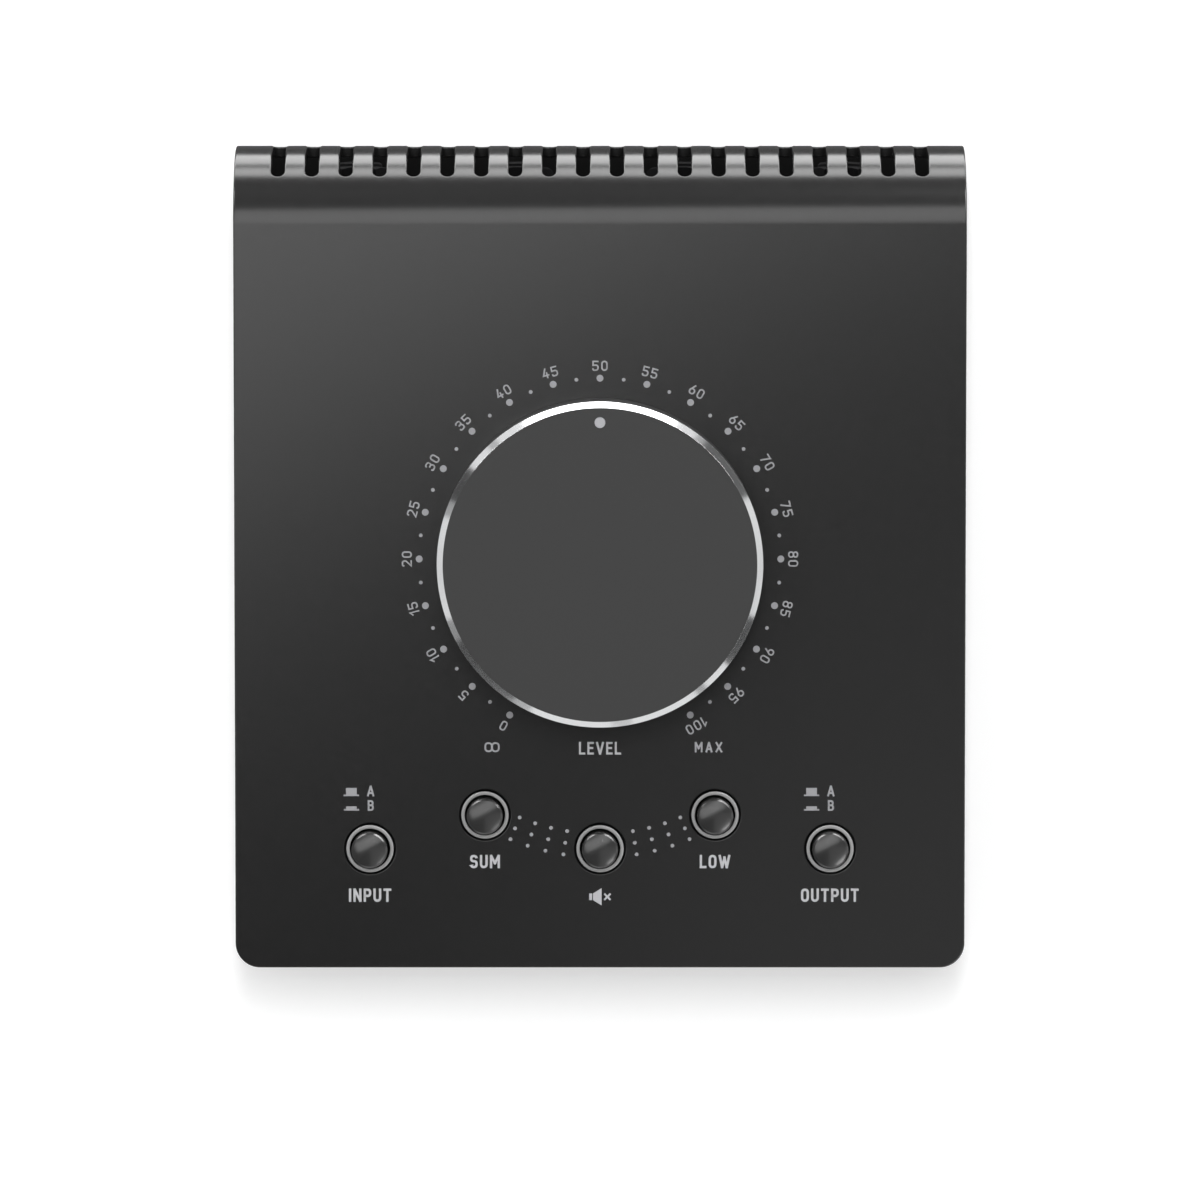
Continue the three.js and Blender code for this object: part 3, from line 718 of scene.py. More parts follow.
def corners_on_face(node):
    """The corners of a node's own mesh in the face's own frame"""
    inverse = FACE.inverted()
    return [inverse @ vertex.co for vertex in frame["nodes"][node].data.vertices]


def moved_to(spot, height=0):
    """A move to a spot's place across and back, and to a height"""
    return Matrix.Translation((spot.x, spot.y, height))


# Materials

def emptied(owner):
    """The node tree of a new material or world, cleared"""
    owner.use_nodes = True
    owner.node_tree.nodes.clear()
    return owner.node_tree


class Finish(Nodes):
    """A surface whose pattern follows the object's own coordinates"""

    def __init__(self, name, colour, roughness, metallic=0.0, specular=0.5):
        super().__init__(emptied(bpy.data.materials.new(name + "_finish")))
        self.colour = (*colour, 1)
        self.roughness = roughness
        self.shader = self.node("ShaderNodeBsdfPrincipled", {
            "Base Color": self.colour, "Roughness": roughness, "Metallic": metallic,
            "Specular IOR Level": specular,
        })
        self.place = self.node("ShaderNodeTexCoord").outputs["Object"]
        self.node("ShaderNodeOutputMaterial", {"Surface": self.shader})

    def noise(self, scale, detail=2.0, stretch=(1, 1, 1)):
        place = self.node("ShaderNodeMapping", {"Vector": self.place, "Scale": stretch})
        return self.node("ShaderNodeTexNoise", {"Vector": place, "Scale": scale, "Detail": detail})

    def ranged(self, pattern, middle, spread):
        """A pattern that drifts to both sides of a value"""
        return self.node("ShaderNodeMapRange", {
            "Value": pattern, "To Min": middle - spread, "To Max": middle + spread,
        })

    def grain(self, pattern, height, strength):
        """Bump from a pattern, height in metres"""
        bump = self.node("ShaderNodeBump", {"Height": pattern, "Distance": height, "Strength": strength})
        self.feed(bump, self.shader.inputs["Normal"])

    def vary_roughness(self, pattern, spread):
        self.feed(self.ranged(pattern, self.roughness, spread), self.shader.inputs["Roughness"])

    def mottle(self, pattern, spread):
        """Lets the colour drift by a share of itself"""
        level = self.ranged(pattern, 1, spread)
        mixed = self.node("ShaderNodeVectorMath", {0: self.colour[:3], "Scale": level}, operation="SCALE")
        self.feed(mixed, self.shader.inputs["Base Color"])

    def mark(self, pattern, other):
        """Turns the colour to another one by a pattern"""
        mixed = self.node("ShaderNodeMix", {
            "Factor": pattern, 6: self.colour, 7: (*other, 1),
        }, data_type="RGBA")
        self.feed(mixed.outputs[2], self.shader.inputs["Base Color"])


def powder_coat(colours):
    finish = Finish("powder_coat", colours.powder, roughness=0.2, specular=0.8)
    finish.grain(finish.noise(5200, detail=3), height=0.006 * MM, strength=0.6)
    finish.vary_roughness(finish.noise(900), spread=0.03)
    finish.mottle(finish.noise(160, detail=3), spread=0.05)


def matt_coat(name, colour, specular):
    """A matt black coat, darker than the powder coat: painted shade, so that the vent slots' walls and what
    shows through the slots look black
    """
    finish = Finish(name, colour, roughness=0.5, specular=specular)
    finish.grain(finish.noise(4200, detail=3), height=0.008 * MM, strength=0.5)
    finish.vary_roughness(finish.noise(900), spread=0.04)
    finish.mottle(finish.noise(160, detail=3), spread=0.05)


def dark_anodised(colours):
    finish = Finish("dark_anodised", colours.anodised, roughness=0.5, specular=0.2)
    finish.grain(finish.noise(9000), height=0.004 * MM, strength=0.3)
    finish.vary_roughness(finish.noise(500), spread=0.04)
    finish.mottle(finish.noise(2600), spread=0.03)


def polished_edge(colours):
    finish = Finish("polished_edge", colours.polished, roughness=0.12, metallic=1.0)
    finish.vary_roughness(finish.noise(1500), spread=0.03)


def pointer_enamel(colours):
    finish = Finish("pointer_enamel", colours.pointer, roughness=0.45)
    finish.mottle(finish.noise(3000), spread=0.03)


def satin_ring(colours):
    finish = Finish("satin_ring", colours.ring, roughness=0.45, metallic=0.6)
    finish.grain(finish.noise(7000), height=0.003 * MM, strength=0.3)
    finish.vary_roughness(finish.noise(1200), spread=0.05)


def gloss_cap(colours):
    finish = Finish("gloss_cap", colours.cap, roughness=0.2, specular=0.8)
    finish.grain(finish.noise(700), height=0.003 * MM, strength=0.1)
    finish.vary_roughness(finish.noise(2200), spread=0.02)


def printed(name, colour):
    """Screen print, a little uneven"""
    finish = Finish(name, colour, roughness=0.55, specular=0.3)
    finish.grain(finish.noise(9000), height=0.004 * MM, strength=0.3)
    finish.mottle(finish.noise(4000), spread=0.04)


def machined(name, colour, roughness):
    """Turned or drawn metal with fine tool marks"""
    finish = Finish(name, colour, roughness, metallic=1.0)
    finish.grain(finish.noise(4000, detail=3, stretch=(1, 1, 0.08)), height=0.003 * MM, strength=0.4)
    finish.vary_roughness(finish.noise(800), spread=0.06)


def moulded(name, colour, roughness, scale, height):
    """Moulded plastic or rubber with a fine texture"""
    finish = Finish(name, colour, roughness, specular=0.12)
    finish.grain(finish.noise(scale, detail=4), height=height, strength=0.5)
    finish.vary_roughness(finish.noise(600), spread=0.05)
    finish.mottle(finish.noise(250), spread=0.06)


# How much lighter a board's tracks are than the rest of it
TRACK_LIGHT = 1.8


def circuit_board(colours):
    """Solder mask with raised tracks"""
    finish = Finish("circuit_board", colours.board, roughness=0.35)
    tracks = finish.node("ShaderNodeTexBrick", {
        "Vector": finish.place, "Color1": (0, 0, 0, 1), "Color2": (0.25, 0.25, 0.25, 1),
        "Mortar": (1, 1, 1, 1), "Scale": 90.0, "Mortar Size": 0.03, "Brick Width": 0.9, "Row Height": 0.21,
    }).outputs["Fac"]
    finish.mark(tracks, [level * TRACK_LIGHT for level in colours.board])
    finish.grain(tracks, height=0.02 * MM, strength=0.5)


def ribbon_insulation(colours):
    finish = Finish("ribbon_insulation", colours.ribbon, roughness=0.5)
    finish.mottle(finish.noise(900), spread=0.05)
    finish.grain(finish.noise(5000), height=0.004 * MM, strength=0.3)


def make_materials(colours):
    for name, roughness in {"steel": 0.3, "shaft": 0.25, "brass": 0.28, "nickel": 0.25}.items():
        machined(name, getattr(colours, name), roughness)
    moulded("moulding", colours.moulding, roughness=0.7, scale=3500, height=0.01 * MM)
    moulded("nylon", colours.nylon, roughness=0.5, scale=3000, height=0.006 * MM)
    moulded("rubber", colours.rubber, roughness=0.75, scale=2400, height=0.03 * MM)
    # Painted shade: both coats are darker than the powder coat, and the floor's also has its gloss taken
    # down, so that what shows through the vent slots looks black
    matt_coat("matt_coat", colours.inner, specular=0.15)
    matt_coat("floor_coat", colours.inner, specular=0.04)
    printed("print_ink", colours.ink)
    printed("fine_ink", colours.fine_ink)
    for make in (powder_coat, dark_anodised, polished_edge, pointer_enamel, satin_ring, gloss_cap,
                 circuit_board, ribbon_insulation):
        make(colours)


# Shared by the operators: the settings, the materials and the middle of the rolled edge

def settings():
    return bpy.context.scene.controller


def material(name):
    """A finish by name; all of them are made when the first is asked for"""
    if name + "_finish" not in bpy.data.materials:
        make_materials(settings().finish)
    return bpy.data.materials[name + "_finish"]


def roll_centre():
    """The middle of the rolled edge, whose arc runs on from the face without a step"""
    radius = settings().cover.roll_radius
    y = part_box("top_cover")[1].y - radius
    fall = (radius + (y - FACE_ORIGIN.y) * FACE_UP.y) / FACE_UP.z
    return Vector((0, y, FACE_ORIGIN.z - fall))


# Pieces

class BuildCover(bpy.types.Operator):
    """Bends the top cover from a flat plate with its holes and vent slots, and adds its pillars"""

    bl_idname = "controller.build_cover"
    bl_label = "Top cover"

    def execute(self, context):
        sizes = settings().cover
        low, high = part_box("top_cover")
        half = (high.x - low.x) / 2
        centre = roll_centre()
        front = (low.y - FACE_ORIGIN.y) / FACE_BACK.y
        roll_start = (centre - FACE_ORIGIN).dot(FACE_BACK)
        roll_end = roll_start + ROLL_TURN * sizes.roll_radius
        end = roll_end + sizes.flange_drop
        corner, small = sizes.corner_radius, sizes.thickness / 4
        outline = rounded([(-half, front, corner), (half, front, corner), (half, end, small),
                           (-half, end, small)], steps=4 * CORNER_STEPS)
        loops = [outline, circle(0, 0, sizes.shaft_hole)]
        for name in CAPS:
            spot = on_face(name)
            loops.append(circle(spot.x, spot.y, sizes.button_hole))
        slot_low = roll_start + (sizes.slot_start + TILT) * sizes.roll_radius - sizes.slot_width / 2
        slot_high = roll_end + sizes.slot_drop + sizes.slot_width / 2
        vents = {
            "slots": sizes.slot_count,
            "pitch": 2 * (half - sizes.slot_margin) / (sizes.slot_count - 1),
            "width": sizes.slot_width,
            "length": slot_high - slot_low,
            "middle": (slot_low + slot_high) / 2,
        }
        coat = material("powder_coat")
        mesh = plate(loops, sizes.thickness, sizes.edge_round, coat, vents)

        def bent(point):
            past = point.y - roll_start
            if past <= 0:
                return FACE @ point, FACE.to_3x3()
            turn = min(past / sizes.roll_radius, ROLL_TURN)
            out = FACE_UP * math.cos(turn) + FACE_BACK * math.sin(turn)
            onward = FACE_BACK * math.cos(turn) - FACE_UP * math.sin(turn)
            straight = past - turn * sizes.roll_radius
            spot = centre + out * (sizes.roll_radius + point.z) + onward * straight
            spot.x = point.x
            return spot, Matrix((FACE_RIGHT, onward, out)).transposed()

        # Painted shade: the upright walls of the vent slots take the darker coat, so that the slots look
        # black
        for face in mesh.polygons:
            in_row = slot_low < face.center.y < slot_high
            in_slot = in_row and abs(face.center.x) < half - sizes.slot_margin / 2
            face.material_index = 1 if in_slot and abs(face.normal.z) < UPRIGHT else 0
        cuts = [roll_start + (roll_end - roll_start) * i / ROLL_CUTS for i in range(ROLL_CUTS + 1)]
        bend(mesh, Vector((0, 1, 0)), cuts, bent)
        finished("top_cover_bent", mesh, "root", "powder_coat", ["top_cover"], coat, material("matt_coat"),
                 shaded=True)
        self.add_pillars(sizes, coat)
        return {"FINISHED"}

    def add_pillars(self, sizes, coat):
        """Tubes under the plate, each over its screw"""
        parts = []
        bore, edge = sizes.screw_bore, sizes.thickness / 4
        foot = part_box("top_cover")[0].z
        for name in CASE_SCREWS:
            spot = box_centre(name)
            plane = FACE_ORIGIN.z + (spot.y - FACE_ORIGIN.y) * math.tan(TILT) - sizes.thickness / FACE_UP.z
            tube = self.tube(sizes.pillar_radius, bore, foot, plane, edge)
            parts.append((tube, moved_to(spot)))
        foot = on_face("main_board").z + self.board_half() + settings().case.gap
        for name in BOARD_SCREWS:
            tube = self.tube(sizes.standoff_radius, bore, foot, -sizes.thickness, edge)
            parts.append((tube, FACE @ moved_to(on_face(name))))
        finished("cover_pillars", joined(*parts), "root", "powder_coat", [], coat)

    def board_half(self):
        """Half of a board's thickness, from the board that stands upright"""
        low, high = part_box("jack_board")
        return (high.y - low.y) / 2

    def tube(self, outer, inner, low, high, edge):
        sunk = high + edge / 2
        return turned([(inner, low + edge), (inner + edge, low), (outer - edge, low), (outer, low + edge),
                       (outer, sunk), (inner, sunk)])


# How far the cover's flange hangs down over the rear panel
FLANGE_LAP = 2.5 * MM


class BuildCase(bpy.types.Operator):
    """Folds the base tray and cuts the rear panel"""

    bl_idname = "controller.build_case"
    bl_label = "Base tray and rear panel"

    def execute(self, context):
        sizes, cover = settings().case, settings().cover
        # Painted shade: the tray's walls and the rear panel take the darker coat, so that they look black
        # through the vent slots
        coat = material("matt_coat")
        low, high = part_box("base_tray")
        centre = roll_centre()
        inner = cover.roll_radius - cover.thickness - sizes.gap
        radius = cover.corner_radius - sizes.reveal
        side = high.y - (low.y + radius)
        bow = radius * math.pi / 2
        front = 2 * (high.x - radius)
        under = (cover.thickness + sizes.gap) / FACE_UP.z

        def plan(along):
            """The place on the tray's plan, and the way out there, this far along from the left rear"""
            if along <= side:
                return Vector((low.x, high.y - along, 0)), Vector((-1, 0, 0))
            if along <= side + bow:
                turn = (along - side) / radius
                out = Vector((-math.cos(turn), -math.sin(turn), 0))
                return Vector((low.x + radius, low.y + radius, 0)) + out * radius, out
            return Vector((low.x + radius + along - side - bow, low.y, 0)), Vector((0, -1, 0))

        def folded(point):
            half = side + bow + front / 2
            mirror = point.x > half
            spot, out = plan(2 * half - point.x if mirror else point.x)
            spot += out * point.z
            spot.z = point.y
            onward = Vector((-out.y, out.x, 0))
            if mirror:
                spot.x, out.x, onward.y = -spot.x, -out.x, -onward.y
            return spot, Matrix((onward, Vector((0, 0, 1)), out)).transposed()

        def edge_height(along):
            y = plan(along)[0].y
            return FACE_ORIGIN.z + (y - FACE_ORIGIN.y) * math.tan(TILT) - under

        flange_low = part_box("rear_panel")[1].z - FLANGE_LAP
        step_y = centre.y + inner
        climb = [(0, flange_low - sizes.gap), (high.y - step_y, flange_low - sizes.gap)]
        for i in range(ROLL_CUTS // 2 + 1):
            turn = ROLL_TURN * i / (ROLL_CUTS // 2)
            climb.append((high.y - centre.y - inner * math.cos(turn), centre.z + inner * math.sin(turn)))
        stops = [side + bow * i / (2 * CORNER_STEPS) for i in range(2 * CORNER_STEPS + 1)]
        climb += [(stop, edge_height(stop)) for stop in stops]
        total = 2 * (side + bow) + front
        upper = climb + [(total - along, height) for along, height in reversed(climb)]
        outline = [Vector((0, low.z)), Vector((total, low.z))] + [Vector(point) for point in reversed(upper)]
        wall = plate([outline], sizes.wall, sizes.edge_round, coat)
        cuts = stops + [total - stop for stop in stops]
        bend(wall, Vector((1, 0, 0)), cuts, folded)
        finished("tray_walls", wall, "root", "powder_coat", ["base_tray"], coat, shaded=True)

        inset = sizes.wall - sizes.edge_round / 2
        left, right, near = low.x + inset, high.x - inset, low.y + inset
        corner = radius - inset
        loops = [rounded([(left, near, corner), (right, near, corner), (right, high.y, 0), (left, high.y, 0)],
                         steps=2 * CORNER_STEPS)]
        holes = [(name, sizes.screw_hole) for name in CASE_SCREWS + PANEL_SCREWS]
        holes += [(name, sizes.foot_hole) for name in FEET]
        for name, hole in holes:
            spot = box_centre(name)
            loops.append(circle(spot.x, spot.y, hole))
        # Painted shade: the tray's floor takes the darker coat with its gloss taken down, so that it looks
        # black through the vent slots
        shade_dull = material("floor_coat")
        floor = plate(loops, sizes.wall, sizes.edge_round, shade_dull)
        floor.transform(Matrix.Translation((0, 0, low.z + sizes.wall)))
        finished("tray_floor", floor, "root", "powder_coat", [], shade_dull)
        self.cut_panel(sizes, coat)
        return {"FINISHED"}

    def cut_panel(self, sizes, coat):
        low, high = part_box("rear_panel")
        loops = [rectangle((low.x, low.z), (high.x, high.z), 2 * sizes.edge_round)]
        for name in JACK_NUTS:
            spot = box_centre(name)
            loops.append(circle(spot.x, spot.z, sizes.socket_hole))
        panel = plate(loops, sizes.wall, sizes.edge_round, coat)
        parts = [(panel, Matrix.Translation((0, high.y, 0)) @ REARWARDS)]
        reach = sizes.tab_width / 2
        for name in PANEL_SCREWS:
            spot = box_centre(name)
            near, far = low.y - spot.y, high.y - sizes.wall - spot.y
            loops = [rectangle((-reach, near), (reach, far), sizes.wall), circle(0, 0, sizes.screw_hole)]
            tab = plate(loops, sizes.wall, sizes.edge_round, coat)
            parts.append((tab, moved_to(spot, low.z + sizes.wall)))
        finished("rear_panel_cut", joined(*parts), "root", "powder_coat", ["rear_panel"], coat)


# Depth of the pocket in the knob and of the pointer that is inlaid in it
POCKET_DEPTH = 0.8 * MM
POINTER_DEPTH = 0.79 * MM

# How far up a normal points on the knob's chamfer: more than the first and less than the second
CHAMFER_NORMALS = (0.5, 0.95)


class BuildKnob(bpy.types.Operator):
    """Turns the dial knob, with its polished chamfer, its grub screw hole and its inlaid pointer"""

    bl_idname = "controller.build_knob"
    bl_label = "Dial knob"

    def execute(self, context):
        sizes = settings().knob
        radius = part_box("dial_knob")[1].x
        top, low = self.heights()
        wall, chamfer, rim, fine = sizes.wall, sizes.chamfer, sizes.rim, sizes.edge_round
        ceiling = top - wall
        outside = [(radius - wall, low, 0), (radius - rim, low, 0), (radius, low + rim, fine),
                   (radius, top - chamfer, fine), (radius - chamfer, top, fine), (0, top, 0)]
        inside = [(0, sizes.bore_end), (sizes.bore, sizes.bore_end), (sizes.bore, sizes.hub_low),
                  (sizes.hub_radius, sizes.hub_low), (sizes.hub_radius, ceiling), (radius - wall, ceiling)]
        profile = [Vector(point) for point in inside] + rounded(outside, closed=False, steps=2)
        mesh = turned(profile, KNOB_SEGMENTS)
        spot = on_face("knob_pointer")
        pointer_radius = self.pointer_radius()
        pocket = turned(self.rod(pointer_radius + sizes.pointer_gap, top - POCKET_DEPTH, top + MM))
        hole = turned(self.rod(sizes.grub_hole, 0, radius + MM))
        laid = Matrix.Rotation(-math.pi / 2, 4, "X")
        raised = Matrix.Translation((0, 0, on_face("knob_grub_screw").z))
        mesh = carved(mesh, joined((pocket, moved_to(spot)), (hole, raised @ laid)))
        least, most = CHAMFER_NORMALS
        for face in mesh.polygons:
            outer = top - chamfer < face.center.z < top and face.center.xy.length > radius - chamfer
            face.material_index = 1 if outer and least < face.normal.z < most else 0
        mesh.transform(FACE)
        finished("dial_knob_turned", mesh, "dial", "dark_anodised", ["dial_knob"],
                 material("dark_anodised"), material("polished_edge"))
        foot = top - POINTER_DEPTH
        pointer = turned([(0, foot), (pointer_radius, foot), (pointer_radius, top - fine),
                          (pointer_radius - fine, top), (0, top)])
        pointer.transform(FACE @ moved_to(spot))
        finished("pointer_dot", pointer, "dial", "pointer_inlay", ["knob_pointer"],
                 material("pointer_enamel"))
        return {"FINISHED"}

    def heights(self):
        """The knob's top and lower rim above the face"""
        levels = [corner.z for corner in corners_on_face("dial_knob")]
        return max(levels), min(levels)

    def pointer_radius(self):
        low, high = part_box("knob_pointer")
        return (high.x - low.x) / 2

    def rod(self, radius, low, high):
        return [(0, low), (radius, low), (radius, high), (0, high)]


# The socket in a cap that takes its slider: its radius, and how far its end lies below the cap's top
CAP_SOCKET = 2.1 * MM
CAP_SOCKET_ROOF = 3 * MM

# Thickness of a ring's flange
RING_FLANGE = 1 * MM


class BuildButtons(bpy.types.Operator):
    """Turns the five caps and the rings round them"""

    bl_idname = "controller.build_buttons"
    bl_label = "Push buttons"

    def execute(self, context):
        sizes, gloss = settings().button, material("gloss_cap")
        for number, name in enumerate(CAPS, 1):
            spot, corners = on_face(name), corners_on_face(name)
            top, low = max(c.z for c in corners), min(c.z for c in corners)
            radius = max(c.x for c in corners) - spot.x
            mesh = turned(self.cap_profile(radius, low, top, sizes))
            mesh.transform(FACE @ moved_to(spot))
            finished(f"cap_{number}", mesh, f"button_{number}", "cap_gloss", [name], gloss)
        spots = [on_face(name).xy.to_3d() for name in CAPS]
        satin = material("satin_ring")
        rings = repeated(turned(self.ring_profile(sizes)), points_tree(), satin, spots)
        # Painted shade: the faces whose middles lie below the face, the ring's upright walls and its flange,
        # take the black moulding, so that the gaps beside each ring and its cap look dark
        for face in rings.polygons:
            face.material_index = 1 if face.center.z < 0 else 0
        rings.transform(FACE)
        finished("button_rings", rings, "root", "bezel_metal", numbered("button_bezel", BUTTON_COUNT), satin,
                 material("moulding"))
        return {"FINISHED"}

    def cap_profile(self, radius, low, top, sizes):
        """A socket below, a straight side, a chamfer and a low crown"""
        socket, socket_top = CAP_SOCKET, top - CAP_SOCKET_ROOF
        reach, edge = radius - sizes.chamfer, top - sizes.crown
        steps = 4 * CORNER_STEPS
        dome = [(reach * i / steps, top - sizes.crown * (i / steps) ** 2, 0) for i in range(steps, -1, -1)]
        fall = sizes.chamfer * math.tan(sizes.chamfer_slope)
        chamfer = [(radius, edge - fall, sizes.chamfer_round), (reach, edge, sizes.chamfer_round / 2)]
        corners = [(0, socket_top, 0), (socket, socket_top, 0), (socket, low, 0), (radius, low, 0)]
        return rounded([*corners, *chamfer, *dome[2:]], closed=False, steps=2 * CORNER_STEPS)

    def ring_profile(self, sizes):
        """A collar with two rounded lips, over a flange under the face"""
        under = -(settings().cover.thickness + settings().case.gap)
        foot, lip = under - RING_FLANGE, sizes.ring_round
        corners = [(sizes.ring_inner, foot, 0), (sizes.ring_flange, foot, lip),
                   (sizes.ring_flange, under, lip), (sizes.ring_outer, under, 0),
                   (sizes.ring_outer, sizes.ring_rise, lip), (sizes.ring_inner, sizes.ring_rise, lip)]
        return rounded(corners)


# Contact strips in a bore: turn about its axis, and place as a share of the housing's depth
CONTACTS = ((0, 0.75), (math.pi, 0.5), (math.pi / 2, 0.3))

# Turned corners of a nut: the cone's small radius by half the width across flats, and its height by its reach
NUT_CONE_SHARE = 0.98
NUT_SLOPE_SHARE = 0.6


class BuildSockets(bpy.types.Operator):
    """Makes the jack housings, their contacts, their threaded bushings and the nuts on them"""

    bl_idname = "controller.build_sockets"
    bl_label = "Sockets"

    def execute(self, context):
        sizes = settings().socket
        low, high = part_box("jack_block_1")
        first, last = box_centre(JACK_NUTS[0]), box_centre(JACK_NUTS[-1])
        middle = (first + last) / 2
        rear = high.y - sizes.bushing_length
        depth = rear - low.y
        black = material("moulding")

        half = (high.x - low.x) / 2
        centre_z = (low.z + high.z) / 2
        edge = sizes.housing_round
        loops = [rectangle((-half, low.z - centre_z), (half, high.z - centre_z), edge)]
        loops += [circle(0, z - centre_z, sizes.bore) for z in (first.z, last.z)]
        housing = plate(loops, depth, edge, black)
        plug, inner, outer = sizes.bore + edge / 4, sizes.bore_floor - depth, edge - depth
        floor = [(0, inner), (plug, inner), (plug, outer), (0, outer)]
        floors = [(turned(floor), Matrix.Translation((0, z - centre_z, 0))) for z in (first.z, last.z)]
        housings = repeated(joined((housing, Matrix()), *floors), rows_tree(), black, columns=JACK_COLUMNS,
                            rows=1, reach_x=last.x - first.x, reach_y=0.0)
        housings.transform(Matrix.Translation((0, rear, centre_z)) @ REARWARDS)
        finished("jack_housings", housings, "root", "black_moulding", numbered("jack_block", JACK_COLUMNS),
                 black)

        nut_low, nut_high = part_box(JACK_NUTS[0])
        bushing = turned(self.bushing_profile(sizes))
        nut = self.nut(sizes, nut_high.y - nut_low.y)
        for name, form, y, slot, nodes, surface in (
            ("jack_bushings", bushing, rear, "black_moulding", [], black),
            ("jack_contacts", self.contact(sizes, depth), rear, "nickel", [], material("nickel")),
            ("jack_nuts", nut, nut_high.y, "black_moulding", JACK_NUTS, black),
        ):
            mesh = repeated(form, rows_tree(), surface, columns=JACK_COLUMNS, rows=JACK_ROWS,
                            reach_x=last.x - first.x, reach_y=last.z - first.z)
            mesh.transform(Matrix.Translation((0, y, middle.z)) @ REARWARDS)
            finished(name, mesh, "root", slot, nodes, surface)
        return {"FINISHED"}

    def bushing_profile(self, sizes):
        """A threaded tube with a rounded mouth, sunk a little into its housing"""
        bore, edge, pitch = sizes.bore, sizes.housing_round, sizes.thread_pitch
        root, length = sizes.bushing - sizes.thread_depth, sizes.bushing_length
        turns = int(length / pitch) - 1
        profile = [(bore - edge / 4, -bore), (root, -bore)]
        for i in range(turns):
            profile += [(root, i * pitch), (sizes.bushing, (i + 0.5) * pitch)]
        profile += [(root, turns * pitch), (root, length - edge), (root - edge, length),
                    (bore + edge, length), (bore, length - edge), (bore, -bore / 2)]
        return profile

    def contact(self, sizes, depth):
        """The sprung strips that touch the plug, on the wall of a bore"""
        parts = []
        bore, width = sizes.bore, sizes.contact
        for turn, share in CONTACTS:
            place = -depth * share
            strip = block((-width / 2, bore - width / 2, place - width),
                          (width / 2, bore + width / 4, place + width), width / 8)
            parts.append((strip, Matrix.Rotation(turn, 4, "Z")))
        return joined(*parts)

    def nut(self, sizes, height):
        """A hexagon whose corners are turned off to a cone on both sides, with its top at height zero"""
        corner = sizes.nut_flats / math.sqrt(3)
        hexagon = [Vector((corner * math.cos(turn), corner * math.sin(turn)))
                   for turn in (math.pi * i / 3 for i in range(6))]
        form = plate([hexagon, circle(0, 0, sizes.bushing + sizes.nut_gap)], height, sizes.thread_depth,
                     material("moulding"))
        flat = sizes.nut_flats / 2 * NUT_CONE_SHARE
        slope = (corner - flat) * NUT_SLOPE_SHARE
        cone = turned([(0, -height), (flat, -height), (corner, slope - height), (corner, -slope), (flat, 0),
                       (0, 0)])
        return carved(form, cone, "INTERSECT")


# The hollow under a foot: where its flat part and its slope end, as shares of the tread's radius
DISH_SHARES = (0.6, 0.66)


class BuildFeet(bpy.types.Operator):
    """Turns the four rubber feet with their push-in stems"""

    bl_idname = "controller.build_feet"
    bl_label = "Feet"

    def execute(self, context):
        sizes = settings().foot
        low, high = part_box(FEET[0])
        radius = (high.x - low.x) / 2
        tread, edge = radius - sizes.taper, sizes.edge_round
        dish_inner, dish_outer = (tread * share for share in DISH_SHARES)
        profile = rounded([(0, sizes.dish, 0), (dish_inner, sizes.dish, 0), (dish_outer, 0, edge / 3),
                           (tread, 0, edge), (radius, sizes.height, edge / 2), (sizes.stem, sizes.height, 0),
                           (sizes.stem, sizes.barb_low, 0), (sizes.barb, sizes.barb_low, edge / 3),
                           (sizes.stem, high.z, edge / 2), (0, high.z, 0)], closed=False)
        black = material("rubber")
        corner = max((box_centre(name) for name in FEET), key=lambda spot: spot.x + spot.y)
        feet = repeated(turned(profile), rows_tree(), black, columns=2, rows=2,
                        reach_x=2 * corner.x, reach_y=2 * corner.y)
        finished("feet", feet, "root", "rubber", FEET, black)
        return {"FINISHED"}


# Where the round part of a screw's head ends, as a share of the head's height
HEAD_DOME_SHARE = 0.6


class BuildScrews(bpy.types.Operator):
    """Turns the pan-head screws under the case, each with a cross recess"""

    bl_idname = "controller.build_screws"
    bl_label = "Screws"

    def execute(self, context):
        steel = material("steel")
        for name, nodes, rows in (("case_screws", CASE_SCREWS, 2), ("panel_screws", PANEL_SCREWS, 1)):
            spots = [box_centre(node) for node in nodes]
            low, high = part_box(nodes[0])
            screw = self.screw(settings().case, high.z - low.z)
            screws = repeated(screw, rows_tree(), steel, columns=2, rows=rows,
                              reach_x=max(spot.x for spot in spots) - min(spot.x for spot in spots),
                              reach_y=max(spot.y for spot in spots) - min(spot.y for spot in spots))
            middle_y = sum(spot.y for spot in spots) / len(spots)
            screws.transform(Matrix.Translation((0, middle_y, low.z)))
            finished(name, screws, "root", "screw_steel", nodes, steel)
        return {"FINISHED"}

    def screw(self, sizes, length):
        """A screw that points up, with the lowest point of its head at height zero"""
        head, shank, pitch = sizes.head_height, sizes.shank_radius, sizes.thread_pitch
        radius, dome = sizes.head_radius, head * HEAD_DOME_SHARE
        corners = [(0, 0, 0), (radius, 0, dome), (radius, head, pitch / 8), (shank, head, 0)]
        profile = rounded(corners, closed=False, steps=2 * CORNER_STEPS)
        turns = int((length - head - 2 * pitch) / pitch)
        for i in range(turns):
            height = head + pitch * (i + 0.5)
            profile += [(shank, height), (shank - pitch / 3, height + pitch / 2)]
        profile += [(shank, length - pitch), (shank / 2, length), (0, length)]
        cross = [block((-reach, -width, -head), (reach, width, sizes.drive_depth), pitch / 6)
                 for reach, width in ((sizes.drive_radius, sizes.drive_width / 2),
                                      (sizes.drive_width / 2, sizes.drive_radius))]
        cutter = carved(cross[0], cross[1], "UNION")
        return carved(turned(profile, TURN_SEGMENTS // 2), cutter)


